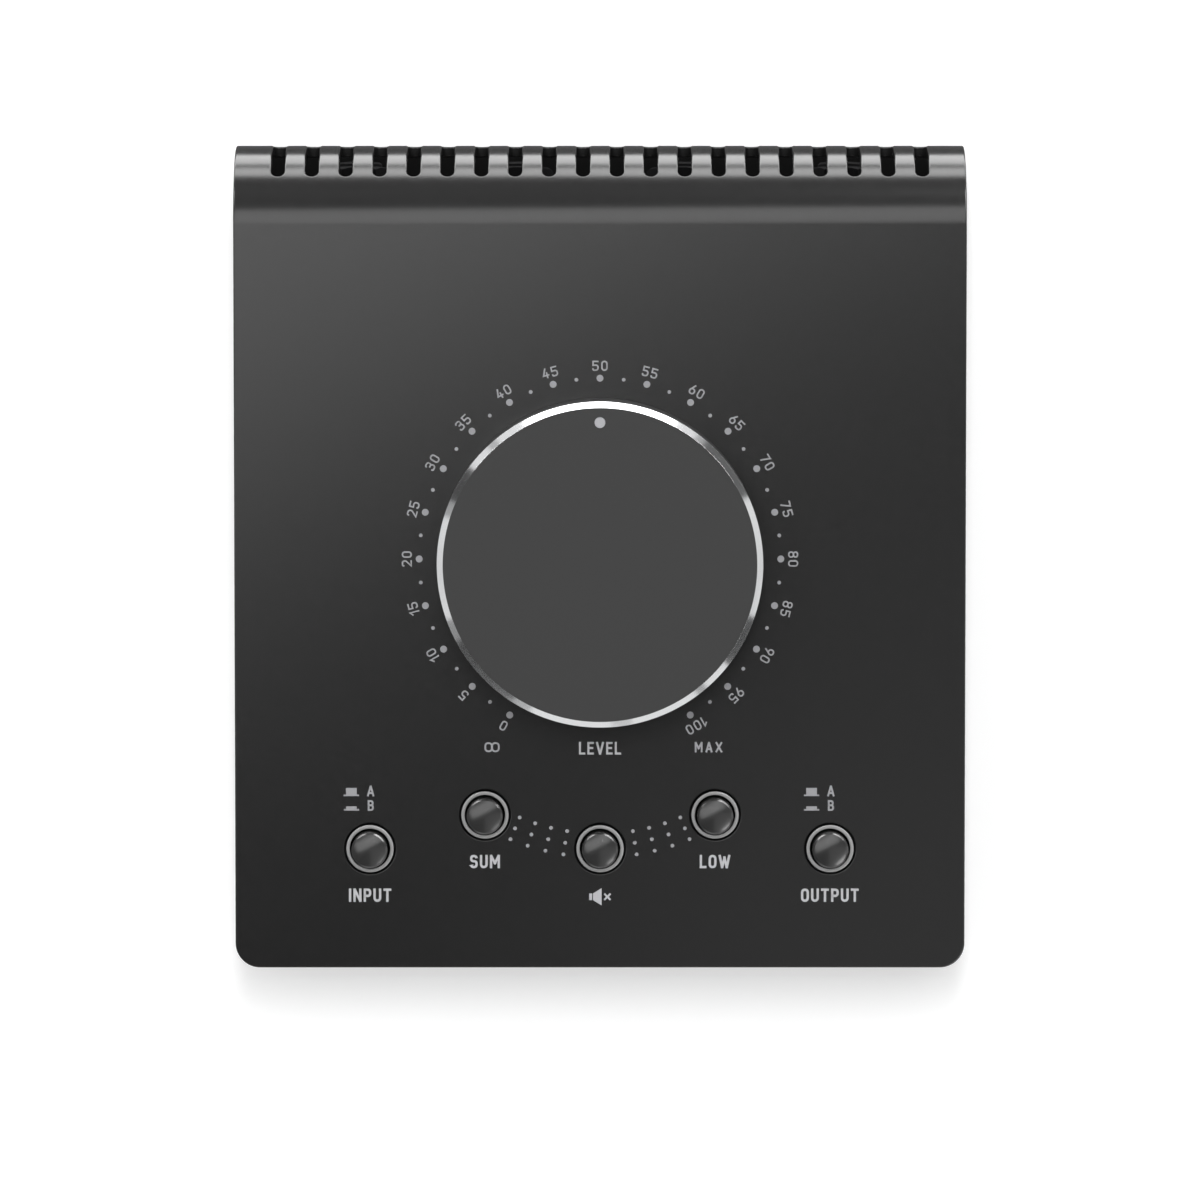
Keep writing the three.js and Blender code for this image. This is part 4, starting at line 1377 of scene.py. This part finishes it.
class FinishInside(bpy.types.Operator):
    """Gives the parts inside the case, whose own shapes serve, the surface of what they are made of"""

    bl_idname = "controller.finish_inside"
    bl_label = "Inner parts"

    def execute(self, context):
        surfaces = {
            "circuit_board": ["main_board", "jack_board"],
            "steel": ["knob_grub_screw", *BOARD_SCREWS],
            "shaft": ["potentiometer_shaft"],
            "brass": ["potentiometer_body"],
            "nickel": ["potentiometer_washer", "potentiometer_nut"],
            "moulding": numbered("switch_body", BUTTON_COUNT),
            "nylon": numbered("switch_slider", BUTTON_COUNT),
            "ribbon_insulation": ["ribbon_cable"],
        }
        for surface, names in surfaces.items():
            for name in names:
                for slot in frame["nodes"][name].material_slots:
                    slot.material = material(surface)
        return {"FINISHED"}


# Letters in a cell one high: the width of each, and then its strokes

def bowl(low, high, right, radius, left=0):
    """A closed loop with round corners"""
    return [(left, low, radius), (right, low, radius), (right, high, radius), (left, high, radius)], True


def line(*points):
    """An open line through points (x, y), with a radius after them where it rounds a corner"""
    return [(*point, 0)[:3] for point in points], False


# Radii of the letters' corners, of wide curves, and of the hooks at the digits' ends
ROUND = 0.2
CURVE = 0.24
HOOK = 0.12
GLYPHS = {
    "0": (0.57, bowl(0, 1, 0.57, 0.26)),
    "1": (0.3, line((0, 0.74), (0.3, 1), (0.3, 0))),
    "2": (0.57, line((0, 0.86), (0, 1, HOOK), (0.57, 1, CURVE), (0.57, 0.6, CURVE), (0, 0), (0.57, 0))),
    "3": (0.57, line((0, 0.87), (0, 1, HOOK), (0.57, 1, CURVE), (0.57, 0.53, CURVE), (0.2, 0.53)),
          line((0.24, 0.53), (0.57, 0.53, CURVE), (0.57, 0, CURVE), (0, 0, HOOK), (0, 0.13))),
    "4": (0.6, line((0.32, 1), (0, 0.26), (0.6, 0.26)), line((0.43, 0.55), (0.43, 0))),
    "5": (0.57, line((0.54, 1), (0, 1), (0, 0.56), (0.57, 0.6, CURVE), (0.57, 0, CURVE), (0, 0, HOOK),
                     (0, 0.13))),
    "6": (0.57, bowl(0, 0.58, 0.57, 0.26), line((0.36, 1), (0, 0.36))),
    "7": (0.55, line((0, 1), (0.55, 1), (0.18, 0))),
    "8": (0.57, bowl(0, 0.53, 0.57, CURVE), bowl(0.53, 1, 0.57, CURVE - 0.01)),
    "9": (0.57, bowl(0.42, 1, 0.57, 0.26), line((0.21, 0), (0.57, 0.64))),
    "A": (0.6, line((0, 0), (0.28, 1)), line((0.32, 1), (0.6, 0)), line((0.1, 0.27), (0.5, 0.27))),
    "B": (0.48, line((0, 0.52), (0, 1), (0.45, 1, ROUND), (0.45, 0.52, ROUND), (0.02, 0.52)),
          line((0.02, 0.52), (0.48, 0.52, ROUND), (0.48, 0, ROUND), (0, 0), (0, 0.52))),
    "E": (0.42, line((0.42, 1), (0, 1), (0, 0), (0.42, 0)), line((0, 0.52), (0.36, 0.52))),
    "I": (0, line((0, 0), (0, 1))),
    "L": (0.4, line((0, 1), (0, 0), (0.4, 0))),
    "M": (0.7, line((0, 0), (0, 1)), line((0.7, 1), (0.7, 0)), line((0.02, 1), (0.35, 0.36)),
          line((0.35, 0.36), (0.68, 1))),
    "N": (0.52, line((0, 0), (0, 1)), line((0.52, 1), (0.52, 0)), line((0.03, 1), (0.49, 0))),
    "O": (0.5, bowl(0, 1, 0.5, CURVE)),
    "P": (0.48, line((0, 0), (0, 1), (0.48, 1, ROUND), (0.48, 0.44, ROUND), (0.02, 0.44))),
    "S": (0.48, line((0.48, 0.8), (0.48, 1, ROUND), (0, 1, ROUND), (0, 0.53, ROUND), (0.48, 0.53, ROUND),
                     (0.48, 0, ROUND), (0, 0, ROUND), (0, 0.2))),
    "T": (0.5, line((0, 1), (0.5, 1)), line((0.25, 1), (0.25, 0))),
    "U": (0.5, line((0, 1), (0, 0, CURVE), (0.5, 0, CURVE), (0.5, 1))),
    "V": (0.56, line((0, 1), (0.26, 0)), line((0.3, 0), (0.56, 1))),
    "W": (0.84, line((0, 1), (0.2, 0)), line((0.22, 0), (0.42, 0.86)), line((0.42, 0.86), (0.62, 0)),
          line((0.64, 0), (0.84, 1))),
    "X": (0.58, line((0, 0), (0.58, 1)), line((0, 1), (0.58, 0))),
    "∞": (1.64, bowl(0, 1, 0.8, 0.34), bowl(0, 1, 1.64, 0.34, left=0.84)),
}

# Each stroke lies higher than the one before by this share of the ink, and starts again after so many
INK_RISE_SHARE = 0.05
INK_LEVELS = 5

# The least cosine of half a corner's turn at which its mitre keeps its full reach
MITRE_LIMIT = 0.5


class Ink:
    """Print on the face: flat strokes and areas, each raised a little more than the one before"""

    def __init__(self, thickness):
        self.form = bmesh.new()
        self.thickness = thickness
        self.laid = 0

    def lay(self, edges):
        """A thin form between pairs of points, from its first pair to its last"""
        levels = (self.thickness * (1 + INK_RISE_SHARE * (self.laid % INK_LEVELS)), -self.thickness)
        self.laid += 1
        rows = []
        for pair in edges:
            rows.append([self.form.verts.new((*point, level)) for level in levels for point in pair])
        for (a, b, c, d), (e, f, g, h) in zip(rows, rows[1:]):
            for corners in ((a, b, f, e), (c, g, h, d), (a, e, g, c), (b, d, h, f)):
                if len(set(corners)) == 4:
                    self.form.faces.new(corners)
        if rows[0][0].co != rows[-1][0].co:
            for a, b, c, d in (rows[0], rows[-1]):
                self.form.faces.new((a, b, d, c))

    def stroke(self, points, width, closed=False):
        """A line of even width with square ends"""
        path = points + points[:1] if closed else points
        edges = []
        for i, point in enumerate(path):
            before = path[i - 1] if i else path[-2]
            after = path[i + 1] if i + 1 < len(path) else path[1]
            ahead = (after - point).normalized()
            behind = (point - before).normalized()
            if not closed and i == 0:
                behind = ahead
            if not closed and i + 1 == len(path):
                ahead = behind
            side = Vector((-(ahead + behind).y, (ahead + behind).x)).normalized()
            reach = width / 2 / max(side.dot(Vector((-ahead.y, ahead.x))), MITRE_LIMIT)
            edges.append((point + side * reach, point - side * reach))
        self.lay(edges)

    def bar(self, start, end, width):
        self.stroke([Vector(start), Vector(end)], width)

    def word(self, text, centre, height, weight, spread=0.3, turn=0.0):
        """Letters in a row about a centre; spread is the space between them as a share of their height"""
        inner = height - weight
        widths = [GLYPHS[letter][0] * inner for letter in text]
        gap = spread * inner + weight * 0.5
        left = -(sum(widths) + gap * (len(text) - 1)) / 2
        rotation = Matrix.Rotation(turn, 2)
        for letter, width in zip(text, widths):
            for corners, closed in GLYPHS[letter][1:]:
                points = rounded([(x * inner, y * inner, r * inner) for x, y, r in corners], closed)
                placed = [rotation @ Vector((left + p.x, p.y - inner / 2)) + Vector(centre) for p in points]
                self.stroke(self.extended(placed, weight / 2) if not closed else placed, weight, closed)
            left += width + gap

    def extended(self, points, reach):
        """The same line with both of its ends drawn out"""
        first = points[0] + (points[0] - points[1]).normalized() * reach
        last = points[-1] + (points[-1] - points[-2]).normalized() * reach
        return [first] + points[1:-1] + [last]

    def mesh(self):
        bmesh.ops.remove_doubles(self.form, verts=self.form.verts, dist=TOUCHING)
        bmesh.ops.recalc_face_normals(self.form, faces=self.form.faces)
        return mesh_of(self.form, "ink")


# The dial's scale: degrees from its first number to its last and from one to the next, its last number, and
# the space between digits as a share of their height
SCALE_SWEEP = 300
NUMBER_STEP = 15
LAST_NUMBER = 100
NUMBER_GAP_SHARE = 0.36

# Words at the ends of the scale in millimetres: place across and back, height, stroke, and spread by height
SCALE_ENDS = {"MAX": (20.2, -35.1, 1.93, 0.34, 0.46), "∞": (-20.1, -35.1, 1.85, 0.32, 0.3)}


class PrintDial(bpy.types.Operator):
    """Prints the dial's dots and numbers, and the marks at the ends of its scale"""

    bl_idname = "controller.print_dial"
    bl_label = "Dial print"

    def execute(self, context):
        sizes, paint = settings().print, material("fine_ink")
        steps = SCALE_SWEEP // NUMBER_STEP
        dots = linked("dots", bpy.data.meshes.new("dots"))
        dial_dots_tree().attach(dots, paint, dots=2 * steps + 1, sweep=math.radians(SCALE_SWEEP),
                                circle=sizes.dot_radius, large=sizes.large_dot, small=sizes.small_dot,
                                ink=2 * sizes.ink)
        mesh = evaluated_mesh(dots)
        ink = Ink(sizes.ink)
        for i in range(steps + 1):
            turn = math.radians(NUMBER_STEP * i - SCALE_SWEEP / 2)
            centre = (sizes.number_radius * math.sin(turn), sizes.number_radius * math.cos(turn))
            number = str(LAST_NUMBER * i // steps)
            ink.word(number, centre, sizes.number_height, sizes.number_stroke, NUMBER_GAP_SHARE, -turn)
        for text, (x, y, height, stroke, spread) in SCALE_ENDS.items():
            ink.word(text, (x * MM, y * MM), height * MM, stroke * MM, spread)
        whole = joined((mesh, Matrix()), (ink.mesh(), Matrix()))
        whole.transform(FACE @ Matrix.Translation((0, -sizes.dial_shift, 0)))
        finished("dial_print", whole, "root", "pointer_inlay", [], paint)
        return {"FINISHED"}


# Words at the buttons: the cap that each belongs to, and its place back from the dial's axis in millimetres
BUTTON_WORDS = {"INPUT": (0, -62.9), "SUM": (1, -56.6), "LOW": (3, -56.6), "OUTPUT": (4, -62.9)}

# Dotted arcs: how many, how many dots each has on a side, and steps from the middle to the first of them
ARCS = 3
ARC_DOTS = 4
ARC_START = 2

# The word under the dial in millimetres: place back, height, stroke
LEVEL_WORD = (-35.4, 2.35, 0.38)

# The crossed loudspeaker in millimetres: its place back, then from its middle the magnet's place, half height
# and width, the place and half height of the horn's ends, and the cross's place, reach and stroke
MUTE_PLACE = -63.2
MAGNET = (-1.75, 0.62, 0.55)
HORN = ((-1.3, 0.62), (0.3, 1.62))
CROSS = (1.38, 0.58, 0.34)

# A and B in millimetres, at the first and the last cap: each letter's place back and its mark's rise, then
# the letters' shift, height and stroke, the mark's shift across and back, its line's reach and stroke, and
# the foot and width of the cap that it shows
STATE_CAPS = (0, 4)
STATES = {"A": (-43.4, 1.25), "B": (-46.1, 0.5)}
STATE_LETTER = (0.15, 2.0, 0.34)
STATE_MARK = (-3.45, -0.95)
STATE_LINE = (1.42, 0.28)
STATE_CAP = (0.2, 2.0)


class PrintLabels(bpy.types.Operator):
    """Prints the words, marks and dotted arcs round the buttons"""

    bl_idname = "controller.print_labels"
    bl_label = "Button print"

    def execute(self, context):
        sizes, bright, fine = settings().print, material("print_ink"), material("fine_ink")
        spots = [on_face(name) for name in CAPS]
        ink = Ink(sizes.ink)
        place, height, stroke = LEVEL_WORD
        ink.word("LEVEL", (0, place * MM), height * MM, stroke * MM)
        for text, (cap, place) in BUTTON_WORDS.items():
            ink.word(text, (spots[cap].x, place * MM), sizes.word_height, sizes.word_stroke)
        self.print_mute(ink, Vector((0, MUTE_PLACE * MM)))
        words = ink.mesh()
        words.transform(FACE)
        finished("words", words, "root", "pointer_inlay", [], bright)
        ink = Ink(sizes.ink)
        for cap in STATE_CAPS:
            self.print_states(ink, spots[cap].x)
        dots = linked("arcs", bpy.data.meshes.new("arcs"))
        arc_dots_tree().attach(dots, fine, arcs=ARCS, dots=ARC_DOTS, first=ARC_START,
                               first_radius=sizes.arc_first, pitch=sizes.arc_pitch, step=sizes.arc_step,
                               dot=sizes.small_dot, ink=2 * sizes.ink)
        arcs = evaluated_mesh(dots)
        whole = joined((arcs, Matrix.Translation((0, -sizes.arc_front, 0))), (ink.mesh(), Matrix()))
        whole.transform(FACE)
        finished("button_marks", whole, "root", "pointer_inlay", [], fine)
        return {"FINISHED"}

    def print_states(self, ink, x):
        """A and B, each beside a mark for the raised and the lowered cap"""
        shift, height, stroke = (value * MM for value in STATE_LETTER)
        middle = x + STATE_MARK[0] * MM
        reach, line = (value * MM for value in STATE_LINE)
        foot, width = (value * MM for value in STATE_CAP)
        for letter, (place, rise) in STATES.items():
            ink.word(letter, (x + shift, place * MM), height, stroke)
            base = place * MM + STATE_MARK[1] * MM
            ink.bar((middle - reach, base + line / 2), (middle + reach, base + line / 2), line)
            ink.bar((middle, base + foot), (middle, base + line + rise * MM), width)

    def print_mute(self, ink, centre):
        """A loudspeaker with a cross"""
        place, half, width = MAGNET
        magnet = centre + Vector((place * MM, 0))
        ink.bar(magnet - Vector((0, half * MM)), magnet + Vector((0, half * MM)), width * MM)
        ink.lay([(centre + Vector((x, y)) * MM, centre + Vector((x, -y)) * MM) for x, y in HORN])
        place, half, width = CROSS
        cross = centre + Vector((place * MM, 0))
        for slope in (1, -1):
            reach = Vector((half, half * slope)) * MM
            ink.bar(cross - reach, cross + reach, width * MM)


# Soft boxes in metres: place, facing, turn in degrees, width and depth, radiance, and whether gloss sees it
SOFT_BOXES = {
    "overhead": ((-0.2, 0.174, 1.62), (0, 0, -1), 26, (1.7, 0.62), 1.83, True),
    "rear_box": ((0, 1.5, 0.32), (0, -1, -0.17), 0, (1.7, 0.4), 4.2, True),
    "rear_table": ((0, 0.33, 0.003), (0, 0, 1), 0, (0.8, 0.36), 4.3, True),
    "key": ((0, 0.21, 1.6), (0, 0, -1), 0, (0.12, 0.37), 80, False),
}

# Strips high round the object, which only gloss sees: place across and back, width, radiance
STRIPS = {
    "strip_right": (0.8, 0.9, 1.04, 14),
    "strip_left": (-0.8, 0.95, 0.8, 10),
    "strip_front": (0.75, -0.8, 0.8, 6),
}
STRIP_HEIGHT = 1.1
STRIP_FALL = -1.05
STRIP_DEPTH = 0.34

# Flat cards that only gloss sees: height, level and outline
CARDS = {
    "ceiling_front": (1.75, 0, [(-5, -3), (-0.02, -3), (-0.02, -0.32), (0.42, -0.12), (2, 0.1), (5, 0.6),
                                (-5, 0.6)]),
    "ceiling_side": (1.76, 0.36, [(-0.1, -1.8), (2, -1.8), (2, 0.3), (-0.1, 0.3)]),
    "ceiling_rear": (1.75, 0.25, [(-5, 0.6), (5, 0.6), (5, 4.6), (-5, 4.6)]),
    "floor_card": (0.002, 0.2, [(-0.4, 0.078), (0.4, 0.078), (0.4, 0.15), (-0.4, 0.15)]),
}

# Upright cards in a circle round the object: first and last bearing in degrees, level
POSTS = (
    (39, 43, 0.5), (43, 68.5, 0.15), (112, 130.5, 0.09), (141, 145, 0.4), (169, 176, 0.55), (204, 211, 0.45),
    (211, 239, 0.07), (239, 247, 0.35), (284, 290, 0.45), (290, 304, 0.08), (314, 318, 0.55),
)
POST_CIRCLE = 0.45
POST_HEIGHT = 0.24

# The light of the sky, and the floor's own glow with the share of it that is mixed in where the camera looks
SKY_LIGHT = 0.3
FLOOR_GLOW = 1.77
FLOOR_SHARE = 0.3


class BuildStage(bpy.types.Operator):
    """Lays the floor, sets the lights and places the camera"""

    bl_idname = "controller.build_stage"
    bl_label = "Floor, light and camera"

    def execute(self, context):
        sizes = settings().stage
        self.lay_floor(sizes)
        self.light_world()
        self.hang_lamps()
        self.set_cards()
        data = bpy.data.cameras.new("camera")
        data.lens = sizes.lens
        data.sensor_width = 36
        data.clip_start = 0.05
        camera = linked("camera", data)
        camera.location = (0, -sizes.camera_front, sizes.camera_height)
        context.scene.camera = camera
        context.scene.view_settings.view_transform = "Standard"
        return {"FINISHED"}

    def lay_floor(self, sizes):
        half = sizes.floor_size / 2
        mesh = bpy.data.meshes.new("floor")
        corners = [(-half, -half, 0), (half, -half, 0), (half, half, 0), (-half, half, 0)]
        mesh.from_pydata(corners, [], [range(len(corners))])
        floor = linked("floor", mesh)
        pale = bpy.data.materials.new("pale_floor")
        nodes = Nodes(emptied(pale))
        matt = nodes.node("ShaderNodeBsdfDiffuse", {"Color": (0.9, 0.9, 0.9, 1)})
        glow = nodes.node("ShaderNodeEmission", {"Color": (1, 1, 1, 1), "Strength": FLOOR_GLOW})
        share = nodes.times(self.seen(nodes), FLOOR_SHARE)
        both = nodes.node("ShaderNodeMixShader", {0: share, 1: matt, 2: glow})
        nodes.node("ShaderNodeOutputMaterial", {0: both})
        mesh.materials.append(pale)

    def seen(self, nodes):
        """One where the camera, a reflection or glass looks, and zero elsewhere"""
        path = nodes.node("ShaderNodeLightPath").outputs
        either = nodes.math("MAXIMUM", path["Is Camera Ray"], path["Is Glossy Ray"])
        return nodes.math("MAXIMUM", either, path["Is Transmission Ray"])

    def light_world(self):
        world = bpy.data.worlds.new("studio")
        bpy.context.scene.world = world
        nodes = Nodes(emptied(world))
        strength = nodes.plus(nodes.times(self.seen(nodes), 1 - SKY_LIGHT), SKY_LIGHT)
        sky = nodes.node("ShaderNodeBackground", {"Color": (1, 1, 1, 1), "Strength": strength})
        nodes.node("ShaderNodeOutputWorld", {0: sky})

    def hang_lamps(self):
        """Soft boxes overhead and behind, and strips for the gloss"""
        for name, (place, facing, turn, size, radiance, glossy) in SOFT_BOXES.items():
            box = self.lamp(name, place, facing, turn, size, radiance)
            box.visible_glossy = glossy
        for name, (x, y, width, radiance) in STRIPS.items():
            turn = -math.degrees(math.atan(x / y))
            strip = self.lamp(name, (x, y, STRIP_HEIGHT), (-x, -y, STRIP_FALL), turn, (width, STRIP_DEPTH),
                              radiance)
            strip.visible_diffuse = False

    def set_cards(self):
        """Dark and grey cards that keep the rest of the studio out of the gloss"""
        for name, (height, level, outline) in CARDS.items():
            self.card(name, [(x, y, height) for x, y in outline], level)
        for number, (*bearings, level) in enumerate(POSTS, 1):
            turns = [math.radians(bearing) for bearing in bearings]
            feet = [(POST_CIRCLE * math.sin(turn), POST_CIRCLE * math.cos(turn), 0) for turn in turns]
            tops = [(x, y, POST_HEIGHT) for x, y, _ in reversed(feet)]
            self.card(f"post_{number}", feet + tops, level)

    def lamp(self, name, place, facing, turn, size, radiance):
        """A soft box that faces one way, with its width turned from the X axis"""
        data = bpy.data.lights.new(name, "AREA")
        data.shape = "RECTANGLE"
        data.size, data.size_y = size
        data.energy = radiance * math.pi * size[0] * size[1]
        back = -Vector(facing).normalized()
        across = Vector((math.cos(math.radians(turn)), math.sin(math.radians(turn)), 0))
        lamp = linked(name, data)
        turned_by = Matrix((across, back.cross(across), back)).transposed().to_4x4()
        lamp.matrix_world = Matrix.Translation(place) @ turned_by
        return lamp

    def card(self, name, corners, level):
        """A plain card that only gloss sees"""
        mesh = bpy.data.meshes.new(name)
        mesh.from_pydata(corners, [], [range(len(corners))])
        card = linked(name, mesh)
        card.visible_camera = card.visible_diffuse = card.visible_shadow = False
        plain = bpy.data.materials.new(name)
        nodes = Nodes(emptied(plain))
        even = nodes.node("ShaderNodeEmission", {"Color": (1, 1, 1, 1), "Strength": level})
        nodes.node("ShaderNodeOutputMaterial", {0: even})
        mesh.materials.append(plain)


class ControllerPanel(bpy.types.Panel):
    """Lists the pieces in the order in which they are made"""

    bl_idname = "VIEW3D_PT_controller"
    bl_label = "Studio Monitor Controller"
    bl_space_type = "VIEW_3D"
    bl_region_type = "UI"
    bl_category = "Controller"

    def draw(self, context):
        for operator in OPERATORS:
            self.layout.operator(operator.bl_idname)


OPERATORS = (BuildCover, BuildCase, BuildSockets, BuildFeet, BuildScrews, BuildKnob, BuildButtons, PrintDial,
             PrintLabels, FinishInside, BuildStage)
SETTINGS = (CoverSettings, CaseSettings, SocketSettings, FootSettings, KnobSettings, ButtonSettings,
            PrintSettings, FinishSettings, StageSettings, ControllerSettings)


def register():
    for each in (*SETTINGS, *OPERATORS, ControllerPanel):
        bpy.utils.register_class(each)
    bpy.types.Scene.controller = PointerProperty(type=ControllerSettings)


def unregister():
    del bpy.types.Scene.controller
    for each in reversed((*SETTINGS, *OPERATORS, ControllerPanel)):
        bpy.utils.unregister_class(each)


def main():
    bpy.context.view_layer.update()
    register()
    for operator in OPERATORS:
        group, name = operator.bl_idname.split(".")
        getattr(getattr(bpy.ops, group), name)()


if __name__ == "__main__":
    main()
